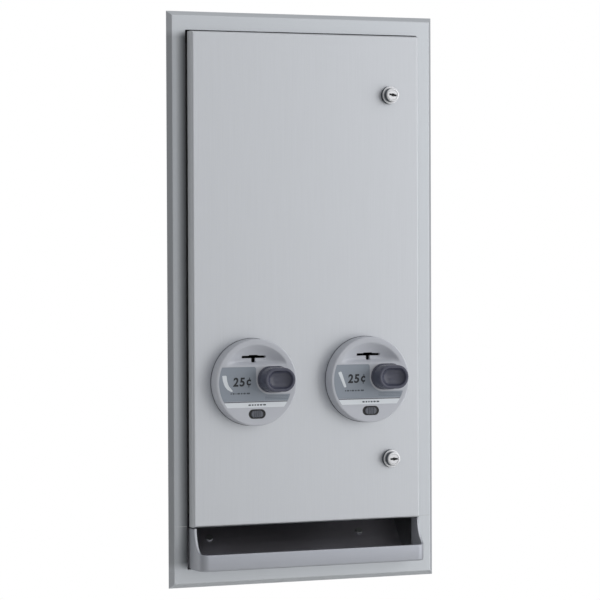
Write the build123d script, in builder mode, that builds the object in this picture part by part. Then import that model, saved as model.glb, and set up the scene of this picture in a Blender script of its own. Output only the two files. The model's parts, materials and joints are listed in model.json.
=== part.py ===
from build123d import *
import os
from math import cos, radians, sin, tan

os.makedirs("parts", exist_ok=True)

# A recessed two-product vending cabinet for a washroom wall.
# The origin is the centre of the wall plane: X to the right, Y into the wall, Z up.
# Heights that end in _height are measured up from the flange's lower edge.

# Overall sizes, in millimetres
flange_width = 400.0
flange_height = 787.0
flange_border = 25.4
flange_proud = 6.0
rim_bend_radius = 1.5
cabinet_depth = 152.0
sheet = 1.2
overrun = 5.0
body_gap = 0.3
running_gap = 0.05
press_gap = 0.02
clearance = 0.3

# Sizes of the door and its hinge
door_proud = 17.0
door_hinge_gap = 2.6
door_lock_gap = 4.6
door_top_gap = 2.3
door_bottom_height = 83.8
bend_radius = 3.0
barrel_radius = 2.5
hinge_pin_radius = 1.2
swing_gap = 0.8
side_wrap = 3.8
leaf_gap = 0.4
leaf_width = 6.0
leaf_weld_width = 22.0
leaf_jog_depth = 2.0
hinge_margin = 15.0
knuckle_count = 17
stiffener_drop = 116.3
stiffener_margin = 26.0
stiffener_width = 36.0
stiffener_foot = 10.0
stiffener_rise = 9.0

# Sizes of the tray and the chute
apron_inset = 1.0
apron_top_height = 82.5
lip_front = -46.0
lip_top_height = 48.0
lip_corner_radius = 6.0
lip_bend_radius = 2.6
lip_hem_radius = 1.6
tongue_depth = 16.0
chute_bend_depth = 40.0
chute_angle = 54.7
chute_tab = 15.0
chute_screw_margin = 59.6
chute_screw_depth = 63.0
screw_head_radius = 5.0
screw_head_height = 2.2
screw_shank_radius = 2.0
screw_hole_gap = 0.25
screw_tail = 3.0
support_margin = 29.6
support_strip = 24.0
support_foot = 18.0

# Sizes of the coin discs and what they carry
disc_height = 280.8
disc_radius = 59.5
disc_thickness = 21.0
disc_shoulder = 2.2
disc_pocket_depth = 9.0
mech_hole_width = 56.0
mech_hole_height = 104.0
mech_hole_radius = 20.0
mech_hole_shift = 8.0
slot_rise = 35.5
slot_width = 34.6
slot_thickness = 3.0
slot_leg_width = 6.0
slot_leg_drop = 8.5
scoop_radius = 50.5
scoop_bottom = 23.0
scoop_slope_top = 31.0
scoop_floor_top = 46.0
scoop_depth = 10.5
scoop_fillet = 3.0
label_radius = 54.3
label_top = 21.5
label_bottom = -25.5
label_recess = 0.6
label_thickness = 0.5
label_edge_gap = 0.15
collar_width = 52.0
collar_height = 41.0

# Sizes of the knob and its shaft
knob_shift = 24.5
knob_rise = 4.0
knob_base_width = 48.0
knob_base_height = 36.0
knob_front_width = 44.0
knob_front_height = 33.0
knob_length = 26.0
knob_dish_rim = 4.0
knob_dish_depth = 4.5
knob_dish_taper = 4.0
knob_edge_radius = 2.0
knob_bore_depth = 16.0
shaft_radius = 5.0
blade_width = 20.0
blade_thickness = 4.0
blade_length = 6.0
blade_engagement = 3.0

# Sizes of the coin mechanism behind each disc
mech_plate = 2.0
mech_plate_left = 48.0
mech_plate_right = 58.0
mech_plate_half_height = 56.0
mech_box_left = 30.0
mech_box_right = 48.0
mech_box_bottom = 52.0
mech_box_top = 46.0
mech_box_back = 18.0
mech_wall = 2.0
mech_screw_left = 41.0
mech_screw_left_rise = 30.0
mech_screw_right = 52.0
mech_screw_right_rise = 14.0
mech_screw_head_radius = 3.5
mech_screw_head_height = 2.4
mech_screw_grip = 7.0
coin_way_width = 36.0
coin_way_height = 6.0
coin_exit_width = 34.0
coin_exit_depth = 10.0
coin_wheel_radius = 19.0
coin_wheel_thickness = 3.0
coin_wheel_depth = -8.0
coin_notch_radius = 12.3

# Sizes of the coin return button
button_drop = 43.0
button_recess_width = 25.2
button_recess_height = 13.0
button_recess_depth = 2.5
button_width = 17.0
button_height = 9.2
button_proud = 0.5
button_rib_width = 1.0
button_rib_depth = 0.6
button_rib_count = 4
button_rib_pitch = 2.6
button_foot_margin = 3.2
button_foot = 1.5
button_stem_radius = 2.5
button_stem_reach = 0.8
spring_radius = 3.8
spring_wire_radius = 0.4
spring_turns = 4

# Sizes of the locks
lock_edge = 46.0
upper_lock_drop = 110.7
lower_lock_height = 168.5
lock_ring_radius = 12.7
lock_ring_thickness = 5.5
lock_ring_fillet = 1.5
lock_head_radius = 10.35
lock_head_length = 6.5
lock_head_fillet = 0.8
lock_barrel_radius = 9.5
lock_barrel_length = 24.0
lock_hole_gap = 0.2
lock_nut_radius = 14.0
lock_nut_thickness = 4.0
plug_radius = 7.0
plug_recess = 0.4
key_slot_width = 10.5
key_slot_thickness = 1.8
key_slot_depth = 8.0
key_notch_radius = 1.7
cam_tail_radius = 4.0
cam_tail_end = 0.8
cam_end_gap = 2.0
cam_width = 14.0
cam_thickness = 2.4
strike_gap = 0.5
strike_sheet = 2.0
strike_reach = 12.6
strike_leg = 26.0
strike_width = 26.0

# Sizes of the coin boxes
coin_box_nut_gap = 2.5
coin_box_depth = 40.0
coin_box_height = 105.0
coin_box_base_height = 98.5
coin_box_front_gap = 2.5
coin_box_pull_share = 0.65
coin_box_pull_depth = 6.0
bracket_back_height = 92.0
bracket_lip = 8.0
bracket_rear_gap = 1.6

# Sizes of the magazines and rotors
rotor_front = 30.0
rotor_plate = 3.0
rotor_end_gap = 1.0
rotor_side_gap = 1.5
rotor_side_wall = 1.4
rotor_wall = 2.5
rotor_shaft_radius = 4.0
rotor_hub_wall = 2.5
housing_drop_share = 0.72
cup_radius = 14.0
cup_thickness = 8.0
cup_slot_length = 24.0
cup_slot_width = 7.2
cup_slot_extra = 0.6
column_front = 36.0
column_top_drop = 52.0
column_floor_gap = 2.0
column_stop = 8.0
follower_gap = 1.0
follower_tab_depth = 6.0
follower_edge = 1.0

# Sizes that differ between the two products
napkin_sizes = dict(
    drum_radius=62.0,
    pack_width=100.0,
    pack_thickness=22.0,
    lip_width=14.0,
    follower_thickness=18.0,
    tab_width=30.0,
)
tampon_sizes = dict(
    drum_radius=31.0,
    pack_width=22.0,
    pack_thickness=20.0,
    lip_width=5.0,
    follower_thickness=12.0,
    tab_width=8.0,
)
pack_gap = 2.0

# Sizes of the cabinet's wall fixings
fixing_hole_radius = 3.5
fixing_depth_spacing = 70.0
fixing_height_spacing = 560.0

# Places worked out from the sizes
quarter_turn = 90.0
half_opening = flange_width / 2 - flange_border
half_opening_height = flange_height / 2 - flange_border
bottom_edge = -flange_height / 2
flange_front = -flange_proud
door_front = flange_front - door_proud
door_inner = door_front + sheet
door_left = door_hinge_gap - half_opening
door_right = half_opening - door_lock_gap
door_middle = (door_left + door_right) / 2
door_width = door_right - door_left
door_top = half_opening_height - door_top_gap
door_bottom = bottom_edge + door_bottom_height
door_height = door_top - door_bottom
door_centre = (door_top + door_bottom) / 2
hinge_x = door_left + sheet + body_gap + barrel_radius
hinge_y = flange_front - swing_gap - (hinge_x - door_left)
door_back = hinge_y + side_wrap
cabinet_back_face = cabinet_depth - sheet
disc_spacing = door_width / 2
disc_z = bottom_edge + disc_height
disc_front = door_front - disc_thickness
disc_floor = door_front - disc_pocket_depth
disc_places = {"left": door_middle - disc_spacing / 2, "right": door_middle + disc_spacing / 2}
knob_z = disc_z + knob_rise
knob_back = disc_front - body_gap
knob_front = disc_front - knob_length
mech_face = door_inner + mech_plate
lock_x = door_right - lock_edge
lock_places = {
    "upper": flange_height / 2 - upper_lock_drop,
    "lower": bottom_edge + lower_lock_height,
}
stiffener_z = lock_places["upper"] - stiffener_drop
lock_back = door_front + lock_barrel_length
cam_front = lock_back + body_gap
cam_reach = lock_edge - cam_end_gap
coin_box_width = 2 * (lock_x - disc_places["right"] - lock_nut_radius - coin_box_nut_gap)


def face_plane(y, x=0, z=0):
    """A plane seen from the front, at depth y, that extrudes towards the viewer."""
    return Plane(origin=(x, y, z), x_dir=(1, 0, 0), z_dir=(0, -1, 0))


def side_plane(x):
    """A plane seen from the right, at x, with its own axes along Y and Z."""
    return Plane(origin=(x, 0, 0), x_dir=(0, 1, 0), z_dir=(1, 0, 0))


def draw_label_outline():
    """The price label in the sketch it is called in: the disc's curve, cut round the knob."""
    Circle(label_radius)
    with Locations((0, label_bottom)):
        Rectangle(
            2 * disc_radius,
            label_top - label_bottom,
            align=(Align.CENTER, Align.MIN),
            mode=Mode.INTERSECT,
        )
    with Locations((knob_shift, knob_rise)):
        SlotOverall(collar_width, collar_height, mode=Mode.SUBTRACT)
    with Locations(
        (knob_shift - collar_width / 2, knob_rise), (knob_shift, knob_rise - collar_height / 2)
    ):
        Rectangle(disc_radius, disc_radius, align=(Align.MIN, Align.MIN), mode=Mode.SUBTRACT)


# Cabinet side panels, each with its four wall fixing holes
panel_height = 2 * (half_opening_height + sheet)
for side, panel_x in (("left", -half_opening - sheet), ("right", half_opening)):
    with BuildPart() as cabinet_side:
        with BuildSketch(side_plane(panel_x)):
            with Locations((cabinet_depth / 2, 0)):
                Rectangle(cabinet_depth, panel_height)
                with GridLocations(fixing_depth_spacing, fixing_height_spacing, 2, 2):
                    Circle(fixing_hole_radius, mode=Mode.SUBTRACT)
        extrude(amount=sheet)
    cabinet_side.part.label = f"cabinet_{side}_side"
    export_step(cabinet_side.part, f"parts/cabinet_{side}_side.step")

# Cabinet back panel between the sides
with BuildPart() as cabinet_back:
    with BuildSketch(face_plane(cabinet_depth)):
        Rectangle(2 * half_opening, 2 * half_opening_height)
    extrude(amount=sheet)
cabinet_back.part.label = "cabinet_back"
export_step(cabinet_back.part, "parts/cabinet_back.step")

# Cabinet top and bottom panels, from the flange to the back
for end, panel_z in (("bottom", -half_opening_height - sheet), ("top", half_opening_height)):
    with BuildPart() as cabinet_end:
        with BuildSketch(Plane.XY.offset(panel_z)):
            with Locations((0, cabinet_depth / 2)):
                Rectangle(2 * half_opening, cabinet_depth)
        extrude(amount=sheet)
    cabinet_end.part.label = f"cabinet_{end}"
    export_step(cabinet_end.part, f"parts/cabinet_{end}.step")

# Drawn wall flange: bevelled rim, flat face and an inner collar that meets the panels
rim_foot = sheet / cos(radians(45))
with BuildPart() as wall_flange:
    with BuildSketch(face_plane(0)):
        Rectangle(flange_width, flange_height)
    with BuildSketch(face_plane(flange_front)):
        Rectangle(flange_width - 2 * flange_proud, flange_height - 2 * flange_proud)
    loft()
    fillet(wall_flange.faces().sort_by(Axis.Y)[0].edges(), radius=rim_bend_radius)
    rim_back = 2 * rim_foot
    rim_front = 2 * (rim_foot + flange_proud - sheet)
    with BuildSketch(face_plane(0)):
        Rectangle(flange_width - rim_back, flange_height - rim_back)
    with BuildSketch(face_plane(flange_front + sheet)):
        Rectangle(flange_width - rim_front, flange_height - rim_front)
    loft(mode=Mode.SUBTRACT)
    with BuildSketch(face_plane(0)):
        Rectangle(2 * (half_opening + sheet), 2 * (half_opening_height + sheet))
    extrude(amount=flange_proud)
    with BuildSketch(face_plane(overrun)):
        Rectangle(2 * half_opening, 2 * half_opening_height)
    extrude(amount=flange_proud + 2 * overrun, mode=Mode.SUBTRACT)
wall_flange.part.label = "wall_flange"
export_step(wall_flange.part, "parts/wall_flange.step")

# Door panel: a folded pan with openings for the coin mechanisms, their screws and the locks
mech_screw_places = [
    (-mech_screw_left, mech_screw_left_rise),
    (-mech_screw_left, -mech_screw_left_rise),
    (mech_screw_right, mech_screw_right_rise),
    (mech_screw_right, -mech_screw_right_rise),
]
screw_hole_radius = screw_shank_radius + screw_hole_gap
with BuildPart() as door_panel:
    with BuildSketch(face_plane(door_back, door_middle, door_centre)):
        Rectangle(door_width, door_height)
    extrude(amount=door_back - door_front)
    fillet(door_panel.faces().sort_by(Axis.Y)[0].edges(), radius=bend_radius)
    offset(amount=-sheet, openings=door_panel.faces().sort_by(Axis.Y)[-1])
    for disc_x in disc_places.values():
        with BuildSketch(face_plane(door_inner + overrun, disc_x, disc_z)):
            with Locations((mech_hole_shift, 0)):
                RectangleRounded(mech_hole_width, mech_hole_height, mech_hole_radius)
            with Locations(*mech_screw_places):
                Circle(screw_hole_radius)
        extrude(amount=sheet + 2 * overrun, mode=Mode.SUBTRACT)
    for lock_z in lock_places.values():
        with BuildSketch(face_plane(door_inner + overrun, lock_x, lock_z)):
            Circle(lock_barrel_radius + lock_hole_gap)
        extrude(amount=sheet + 2 * overrun, mode=Mode.SUBTRACT)
door_panel.part.label = "door_panel"
export_step(door_panel.part, "parts/door_panel.step")

# Door stiffener: a hat channel welded across the inside of the door
with BuildPart() as door_stiffener:
    with BuildSketch(side_plane(door_middle)):
        with Locations((door_inner + stiffener_rise / 2, stiffener_z)):
            Rectangle(stiffener_rise, stiffener_width)
            Rectangle(stiffener_rise, stiffener_width - 2 * sheet, mode=Mode.SUBTRACT)
        with Locations((door_inner + stiffener_rise - sheet / 2, stiffener_z)):
            Rectangle(sheet, stiffener_width)
        foot_shift = (stiffener_width + stiffener_foot) / 2
        with Locations(
            (door_inner + sheet / 2, stiffener_z + foot_shift),
            (door_inner + sheet / 2, stiffener_z - foot_shift),
        ):
            Rectangle(sheet, stiffener_foot + 2 * sheet)
    extrude(amount=door_width / 2 - stiffener_margin, both=True)
door_stiffener.part.label = "door_stiffener"
export_step(door_stiffener.part, "parts/door_stiffener.step")

# Hinge: two leaves with alternate knuckles on one long pin
hinge_length = door_height - 2 * hinge_margin
hinge_start = door_bottom + hinge_margin
knuckle_pitch = hinge_length / knuckle_count
knuckle_length = knuckle_pitch - body_gap
barrel_room = barrel_radius + body_gap
leaf_x = door_left + sheet

with BuildPart() as hinge_leaf_door:
    with BuildSketch(Plane.XY.offset(hinge_start)):
        with Locations((leaf_x, hinge_y - barrel_room)):
            Rectangle(sheet, leaf_width, align=(Align.MIN, Align.MAX))
    extrude(amount=hinge_length)
    for index in range(1, knuckle_count, 2):
        with BuildSketch(Plane.XY.offset(hinge_start + index * knuckle_pitch)):
            with Locations((hinge_x, hinge_y)):
                Circle(barrel_radius)
            with Locations((leaf_x, hinge_y)):
                Rectangle(sheet, barrel_room + sheet, align=(Align.MIN, Align.MAX))
        extrude(amount=knuckle_length)
    with BuildSketch(Plane.XY.offset(hinge_start - overrun)):
        with Locations((hinge_x, hinge_y)):
            Circle(hinge_pin_radius + running_gap)
    extrude(amount=hinge_length + 2 * overrun, mode=Mode.SUBTRACT)
hinge_leaf_door.part.label = "hinge_leaf_door"
export_step(hinge_leaf_door.part, "parts/hinge_leaf_door.step")

offset_x = hinge_x + side_wrap + leaf_gap
with BuildPart() as hinge_leaf_cabinet:
    with BuildSketch(Plane.XY.offset(hinge_start)):
        with Locations((offset_x, hinge_y + barrel_room)):
            strip_depth = leaf_jog_depth + sheet - hinge_y - barrel_room
            Rectangle(sheet, strip_depth, align=(Align.MIN, Align.MIN))
        with Locations((-half_opening, leaf_jog_depth)):
            Rectangle(offset_x + sheet + half_opening, sheet, align=(Align.MIN, Align.MIN))
            Rectangle(sheet, leaf_weld_width, align=(Align.MIN, Align.MIN))
    extrude(amount=hinge_length)
    for index in range(0, knuckle_count, 2):
        with BuildSketch(Plane.XY.offset(hinge_start + index * knuckle_pitch)):
            with Locations((hinge_x, hinge_y)):
                Circle(barrel_radius)
                Rectangle(offset_x + sheet - hinge_x, sheet, align=(Align.MIN, Align.MIN))
            with Locations((offset_x, hinge_y)):
                Rectangle(sheet, barrel_room + sheet, align=(Align.MIN, Align.MIN))
        extrude(amount=knuckle_length)
    with BuildSketch(Plane.XY.offset(hinge_start - overrun)):
        with Locations((hinge_x, hinge_y)):
            Circle(hinge_pin_radius + running_gap)
    extrude(amount=hinge_length + 2 * overrun, mode=Mode.SUBTRACT)
hinge_leaf_cabinet.part.label = "hinge_leaf_cabinet"
export_step(hinge_leaf_cabinet.part, "parts/hinge_leaf_cabinet.step")

with BuildPart() as hinge_pin:
    with BuildSketch(Plane.XY.offset(hinge_start - sheet)):
        with Locations((hinge_x, hinge_y)):
            Circle(hinge_pin_radius)
    extrude(amount=hinge_length + 2 * sheet)
hinge_pin.part.label = "hinge_pin"
export_step(hinge_pin.part, "parts/hinge_pin.step")

# Tray apron: side cheeks with a swept front edge, a floor and a low lip with a rolled top
apron_width = door_width - 2 * apron_inset
apron_floor = -half_opening_height
apron_top = bottom_edge + apron_top_height
lip_top = bottom_edge + lip_top_height
with BuildPart() as tray_apron:
    with BuildSketch(side_plane(door_middle)):
        with BuildLine():
            Line((0, apron_top), (0, apron_floor))
            Line((0, apron_floor), (lip_front, apron_floor))
            Line((lip_front, apron_floor), (lip_front, lip_top))
            EllipticalCenterArc(
                (lip_front, apron_top),
                door_front - lip_front,
                apron_top - lip_top,
                start_angle=3 * quarter_turn,
                arc_size=quarter_turn,
            )
            Line((door_front, apron_top), (0, apron_top))
        make_face()
    extrude(amount=apron_width / 2, both=True)
    fillet(tray_apron.edges().filter_by(Axis.Z).group_by(Axis.Y)[0], radius=lip_corner_radius)
    fillet(tray_apron.edges().group_by(Axis.Z)[0].sort_by(Axis.Y)[:-1], radius=lip_bend_radius)
    with BuildSketch(Plane.XY.offset(apron_floor + sheet)) as tray_room:
        with Locations((door_middle, lip_front + sheet)):
            Rectangle(
                apron_width - 2 * sheet, overrun - lip_front, align=(Align.CENTER, Align.MIN)
            )
        fillet(tray_room.vertices().group_by(Axis.Y)[0], radius=lip_corner_radius - sheet)
    extrude(amount=apron_top - apron_floor, mode=Mode.SUBTRACT)
    tray_bed = tray_apron.faces().filter_by(Axis.Z).sort_by(Axis.Z)[1]
    fillet(tray_bed.edges().sort_by(Axis.Y)[:-1], radius=lip_bend_radius - sheet)
    with BuildSketch(side_plane(door_middle)):
        with Locations((lip_front + lip_hem_radius, lip_top - lip_hem_radius)):
            Circle(lip_hem_radius)
    extrude(amount=apron_width / 2 - lip_corner_radius, both=True)
    with BuildSketch(Plane.XY.offset(apron_floor)):
        with Locations((door_middle, 0)):
            Rectangle(apron_width, tongue_depth, align=(Align.CENTER, Align.MIN))
    extrude(amount=sheet)
tray_apron.part.label = "tray_apron"
export_step(tray_apron.part, "parts/tray_apron.step")

# Delivery chute: one folded sheet that slopes from the back panel down to the tray
slope = tan(radians(chute_angle))
chute_back = cabinet_back_face - sheet
chute_floor = apron_floor + sheet
chute_top = chute_floor + (chute_back - chute_bend_depth) * slope
under_bend = chute_bend_depth + sheet * tan(radians(chute_angle / 2))
under_top = apron_floor + (cabinet_back_face - under_bend) * slope
screw_z = chute_floor + (chute_screw_depth - chute_bend_depth) * slope
slope_normal = (0, -sin(radians(chute_angle)), cos(radians(chute_angle)))
chute_screw_plane = Plane(
    origin=(0, chute_screw_depth, screw_z), x_dir=(1, 0, 0), z_dir=slope_normal
)
chute_screw_spread = 2 * (half_opening - chute_screw_margin)
with BuildPart() as delivery_chute:
    with BuildSketch(side_plane(0)):
        with BuildLine():
            Polyline(
                (tongue_depth, apron_floor),
                (tongue_depth, chute_floor),
                (chute_bend_depth, chute_floor),
                (chute_back, chute_top),
                (chute_back, chute_top + chute_tab),
                (cabinet_back_face, chute_top + chute_tab),
                (cabinet_back_face, under_top),
                (under_bend, apron_floor),
                close=True,
            )
        make_face()
    extrude(amount=half_opening, both=True)
    with BuildSketch(chute_screw_plane):
        with GridLocations(chute_screw_spread, 0, 2, 1):
            Circle(screw_hole_radius)
    extrude(amount=overrun, both=True, mode=Mode.SUBTRACT)
delivery_chute.part.label = "delivery_chute"
export_step(delivery_chute.part, "parts/delivery_chute.step")

# Chute support: a folded bracket on the cabinet floor that the chute is screwed to
support_y = chute_screw_depth - support_strip / 2 * cos(radians(chute_angle))
strip_drop = 2 * sheet / cos(radians(chute_angle))
web_y = support_y + 2 * sheet
support_top = screw_z + (web_y + sheet - chute_screw_depth) * slope - strip_drop
support_width = 2 * (half_opening - support_margin)
with BuildPart() as chute_support:
    with BuildSketch(chute_screw_plane.offset(-2 * sheet)):
        Rectangle(support_width, support_strip)
        with GridLocations(chute_screw_spread, 0, 2, 1):
            Circle(screw_hole_radius, mode=Mode.SUBTRACT)
    extrude(amount=sheet)
    with BuildSketch(side_plane(0)):
        with Locations((web_y, apron_floor)):
            Rectangle(sheet, support_top - apron_floor, align=(Align.MIN, Align.MIN))
            Rectangle(support_foot, sheet, align=(Align.MIN, Align.MIN))
    extrude(amount=support_width / 2, both=True)
chute_support.part.label = "chute_support"
export_step(chute_support.part, "parts/chute_support.step")

# Chute screws: two pan-head screws
with BuildPart() as chute_screws:
    with BuildSketch(chute_screw_plane):
        with GridLocations(chute_screw_spread, 0, 2, 1):
            Circle(screw_head_radius)
    extrude(amount=screw_head_height)
    head_faces = chute_screws.faces().sort_by(Axis((0, 0, 0), slope_normal))[-2:]
    fillet(head_faces.edges(), radius=screw_head_height / 2)
    with BuildSketch(chute_screw_plane):
        with GridLocations(chute_screw_spread, 0, 2, 1):
            Circle(screw_shank_radius)
    extrude(amount=-2 * sheet - screw_tail)
chute_screws.part.label = "chute_screws"
export_step(chute_screws.part, "parts/chute_screws.step")

# Magazines, rotors and followers, one set for each product
housing_back = cabinet_back_face
plate_back_face = housing_back - rotor_plate
drum_front = rotor_front + rotor_plate + rotor_end_gap
drum_back = plate_back_face - rotor_end_gap
cup_back = rotor_front - body_gap
cup_front = cup_back - cup_thickness
cup_slot_depth = blade_engagement + cup_slot_extra
column_back = cabinet_back_face - sheet
column_top = flange_height / 2 - column_top_drop
products = (("napkin", "left", napkin_sizes), ("tampon", "right", tampon_sizes))
for product, side, sizes in products:
    axis_x = disc_places[side] + knob_shift
    drum_radius = sizes["drum_radius"]
    room_width = sizes["pack_width"] + 2 * pack_gap
    pocket_corner = (drum_radius**2 - (sizes["pack_width"] / 2) ** 2) ** 0.5
    pocket_floor = pocket_corner - sizes["pack_thickness"]
    housing_radius = drum_radius + rotor_side_gap
    housing_half = housing_radius + rotor_side_wall
    housing_low = drum_radius * housing_drop_share
    column_bottom = knob_z + housing_radius + column_floor_gap

    # Rotor housing: two moulded cheeks round the drum, with a bearing plate at each end
    with BuildPart() as rotor_housing:
        with BuildSketch(face_plane(housing_back, axis_x, knob_z)):
            Rectangle(2 * housing_half, 2 * housing_low)
            with Locations((0, housing_low)):
                housing_top = column_bottom - knob_z - housing_low
                Rectangle(2 * housing_half, housing_top, align=(Align.CENTER, Align.MIN))
            Circle(housing_radius, mode=Mode.SUBTRACT)
            Rectangle(room_width, 2 * (housing_radius + overrun), mode=Mode.SUBTRACT)
        extrude(amount=housing_back - rotor_front)
        with BuildSketch(face_plane(housing_back, axis_x, knob_z)):
            Rectangle(2 * housing_half, 2 * housing_low)
            Circle(rotor_shaft_radius + running_gap, mode=Mode.SUBTRACT)
        extrude(amount=rotor_plate)
        with BuildSketch(face_plane(rotor_front + rotor_plate, axis_x, knob_z)):
            Rectangle(2 * housing_half, 2 * housing_low)
            Circle(rotor_shaft_radius + running_gap, mode=Mode.SUBTRACT)
        extrude(amount=rotor_plate)
    rotor_housing.part.label = f"{product}_rotor_housing"
    export_step(rotor_housing.part, f"parts/{product}_rotor_housing.step")

    # Rotor drum: a ribbed moulding with one pocket that lies under the stack at rest
    with BuildPart() as rotor_drum:
        with BuildSketch(face_plane(drum_back, axis_x, knob_z)) as drum_section:
            Circle(drum_radius)
            with Locations((0, pocket_floor)):
                Rectangle(
                    sizes["pack_width"],
                    drum_radius,
                    align=(Align.CENTER, Align.MIN),
                    mode=Mode.SUBTRACT,
                )
            offset(amount=-rotor_wall, mode=Mode.SUBTRACT)
            Circle(rotor_shaft_radius + rotor_hub_wall)
            with Locations((0, -drum_radius / 2)):
                Rectangle(rotor_wall, drum_radius - rotor_wall)
            Circle(rotor_shaft_radius + press_gap, mode=Mode.SUBTRACT)
            with Locations((0, pocket_floor - rotor_wall)):
                Rectangle(rotor_wall, rotor_wall)
            with Locations((0, pocket_floor)):
                web_height = pocket_floor - rotor_shaft_radius - rotor_hub_wall + press_gap
                Rectangle(rotor_wall, web_height, align=(Align.CENTER, Align.MAX))
        extrude(amount=drum_back - drum_front)
    rotor_drum.part.label = f"{product}_rotor_drum"
    export_step(rotor_drum.part, f"parts/{product}_rotor_drum.step")

    # Rotor shaft through both bearing plates
    shaft_front = cup_front + cup_slot_depth + body_gap
    with BuildPart() as rotor_shaft:
        with BuildSketch(face_plane(housing_back - body_gap, axis_x, knob_z)):
            Circle(rotor_shaft_radius)
        extrude(amount=housing_back - body_gap - shaft_front)
    rotor_shaft.part.label = f"{product}_rotor_shaft"
    export_step(rotor_shaft.part, f"parts/{product}_rotor_shaft.step")

    # Drive cup: a disc whose slot takes the blade of the knob's shaft
    with BuildPart() as drive_cup:
        with BuildSketch(face_plane(cup_back, axis_x, knob_z)):
            Circle(cup_radius)
        extrude(amount=cup_thickness)
        with BuildSketch(face_plane(cup_front + cup_slot_depth, axis_x, knob_z)):
            Rectangle(cup_slot_width, cup_slot_length)
        extrude(amount=cup_slot_depth + overrun, mode=Mode.SUBTRACT)
        with BuildSketch(face_plane(cup_back + overrun, axis_x, knob_z)):
            Circle(rotor_shaft_radius + press_gap)
        extrude(amount=cup_back + overrun - shaft_front + body_gap / 2, mode=Mode.SUBTRACT)
    drive_cup.part.label = f"{product}_drive_cup"
    export_step(drive_cup.part, f"parts/{product}_drive_cup.step")

    # Magazine column: a channel on the back panel that guides the stack onto the rotor,
    # slotted in front down to the stop that carries the follower's tab
    with BuildPart() as column:
        with BuildSketch(Plane.XY.offset(column_bottom)):
            with Locations((axis_x, column_front)):
                Rectangle(
                    room_width + 2 * sheet,
                    cabinet_back_face - column_front,
                    align=(Align.CENTER, Align.MIN),
                )
            with Locations((axis_x, column_front + sheet)):
                Rectangle(
                    room_width,
                    column_back - column_front - sheet,
                    align=(Align.CENTER, Align.MIN),
                    mode=Mode.SUBTRACT,
                )
        extrude(amount=column_top - column_bottom)
        with BuildSketch(Plane.XY.offset(column_bottom + column_stop)):
            with Locations((axis_x, column_front)):
                Rectangle(room_width - 2 * sizes["lip_width"], overrun)
        extrude(amount=column_top - column_bottom, mode=Mode.SUBTRACT)
    column.part.label = f"{product}_column"
    export_step(column.part, f"parts/{product}_column.step")

    # Follower: a cast weight that rides down the column on top of the stack
    follower_width = room_width - 2 * follower_gap
    follower_front = column_front + sheet + follower_gap
    follower_depth = column_back - follower_gap - follower_front
    follower_bottom = column_bottom + column_stop + body_gap
    with BuildPart() as follower:
        with BuildSketch(Plane.XY.offset(follower_bottom)):
            with Locations((axis_x, follower_front)):
                Rectangle(follower_width, follower_depth, align=(Align.CENTER, Align.MIN))
        extrude(amount=sizes["follower_thickness"])
        chamfer(follower.faces().sort_by(Axis.Z)[-1].edges(), length=follower_edge)
        with BuildSketch(Plane.XY.offset(follower_bottom)):
            with Locations((axis_x, column_front - follower_tab_depth)):
                tab_depth = follower_front + follower_tab_depth - column_front + follower_edge
                Rectangle(sizes["tab_width"], tab_depth, align=(Align.CENTER, Align.MIN))
        extrude(amount=sizes["follower_thickness"] / 2)
    follower.part.label = f"{product}_follower"
    export_step(follower.part, f"parts/{product}_follower.step")

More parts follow.
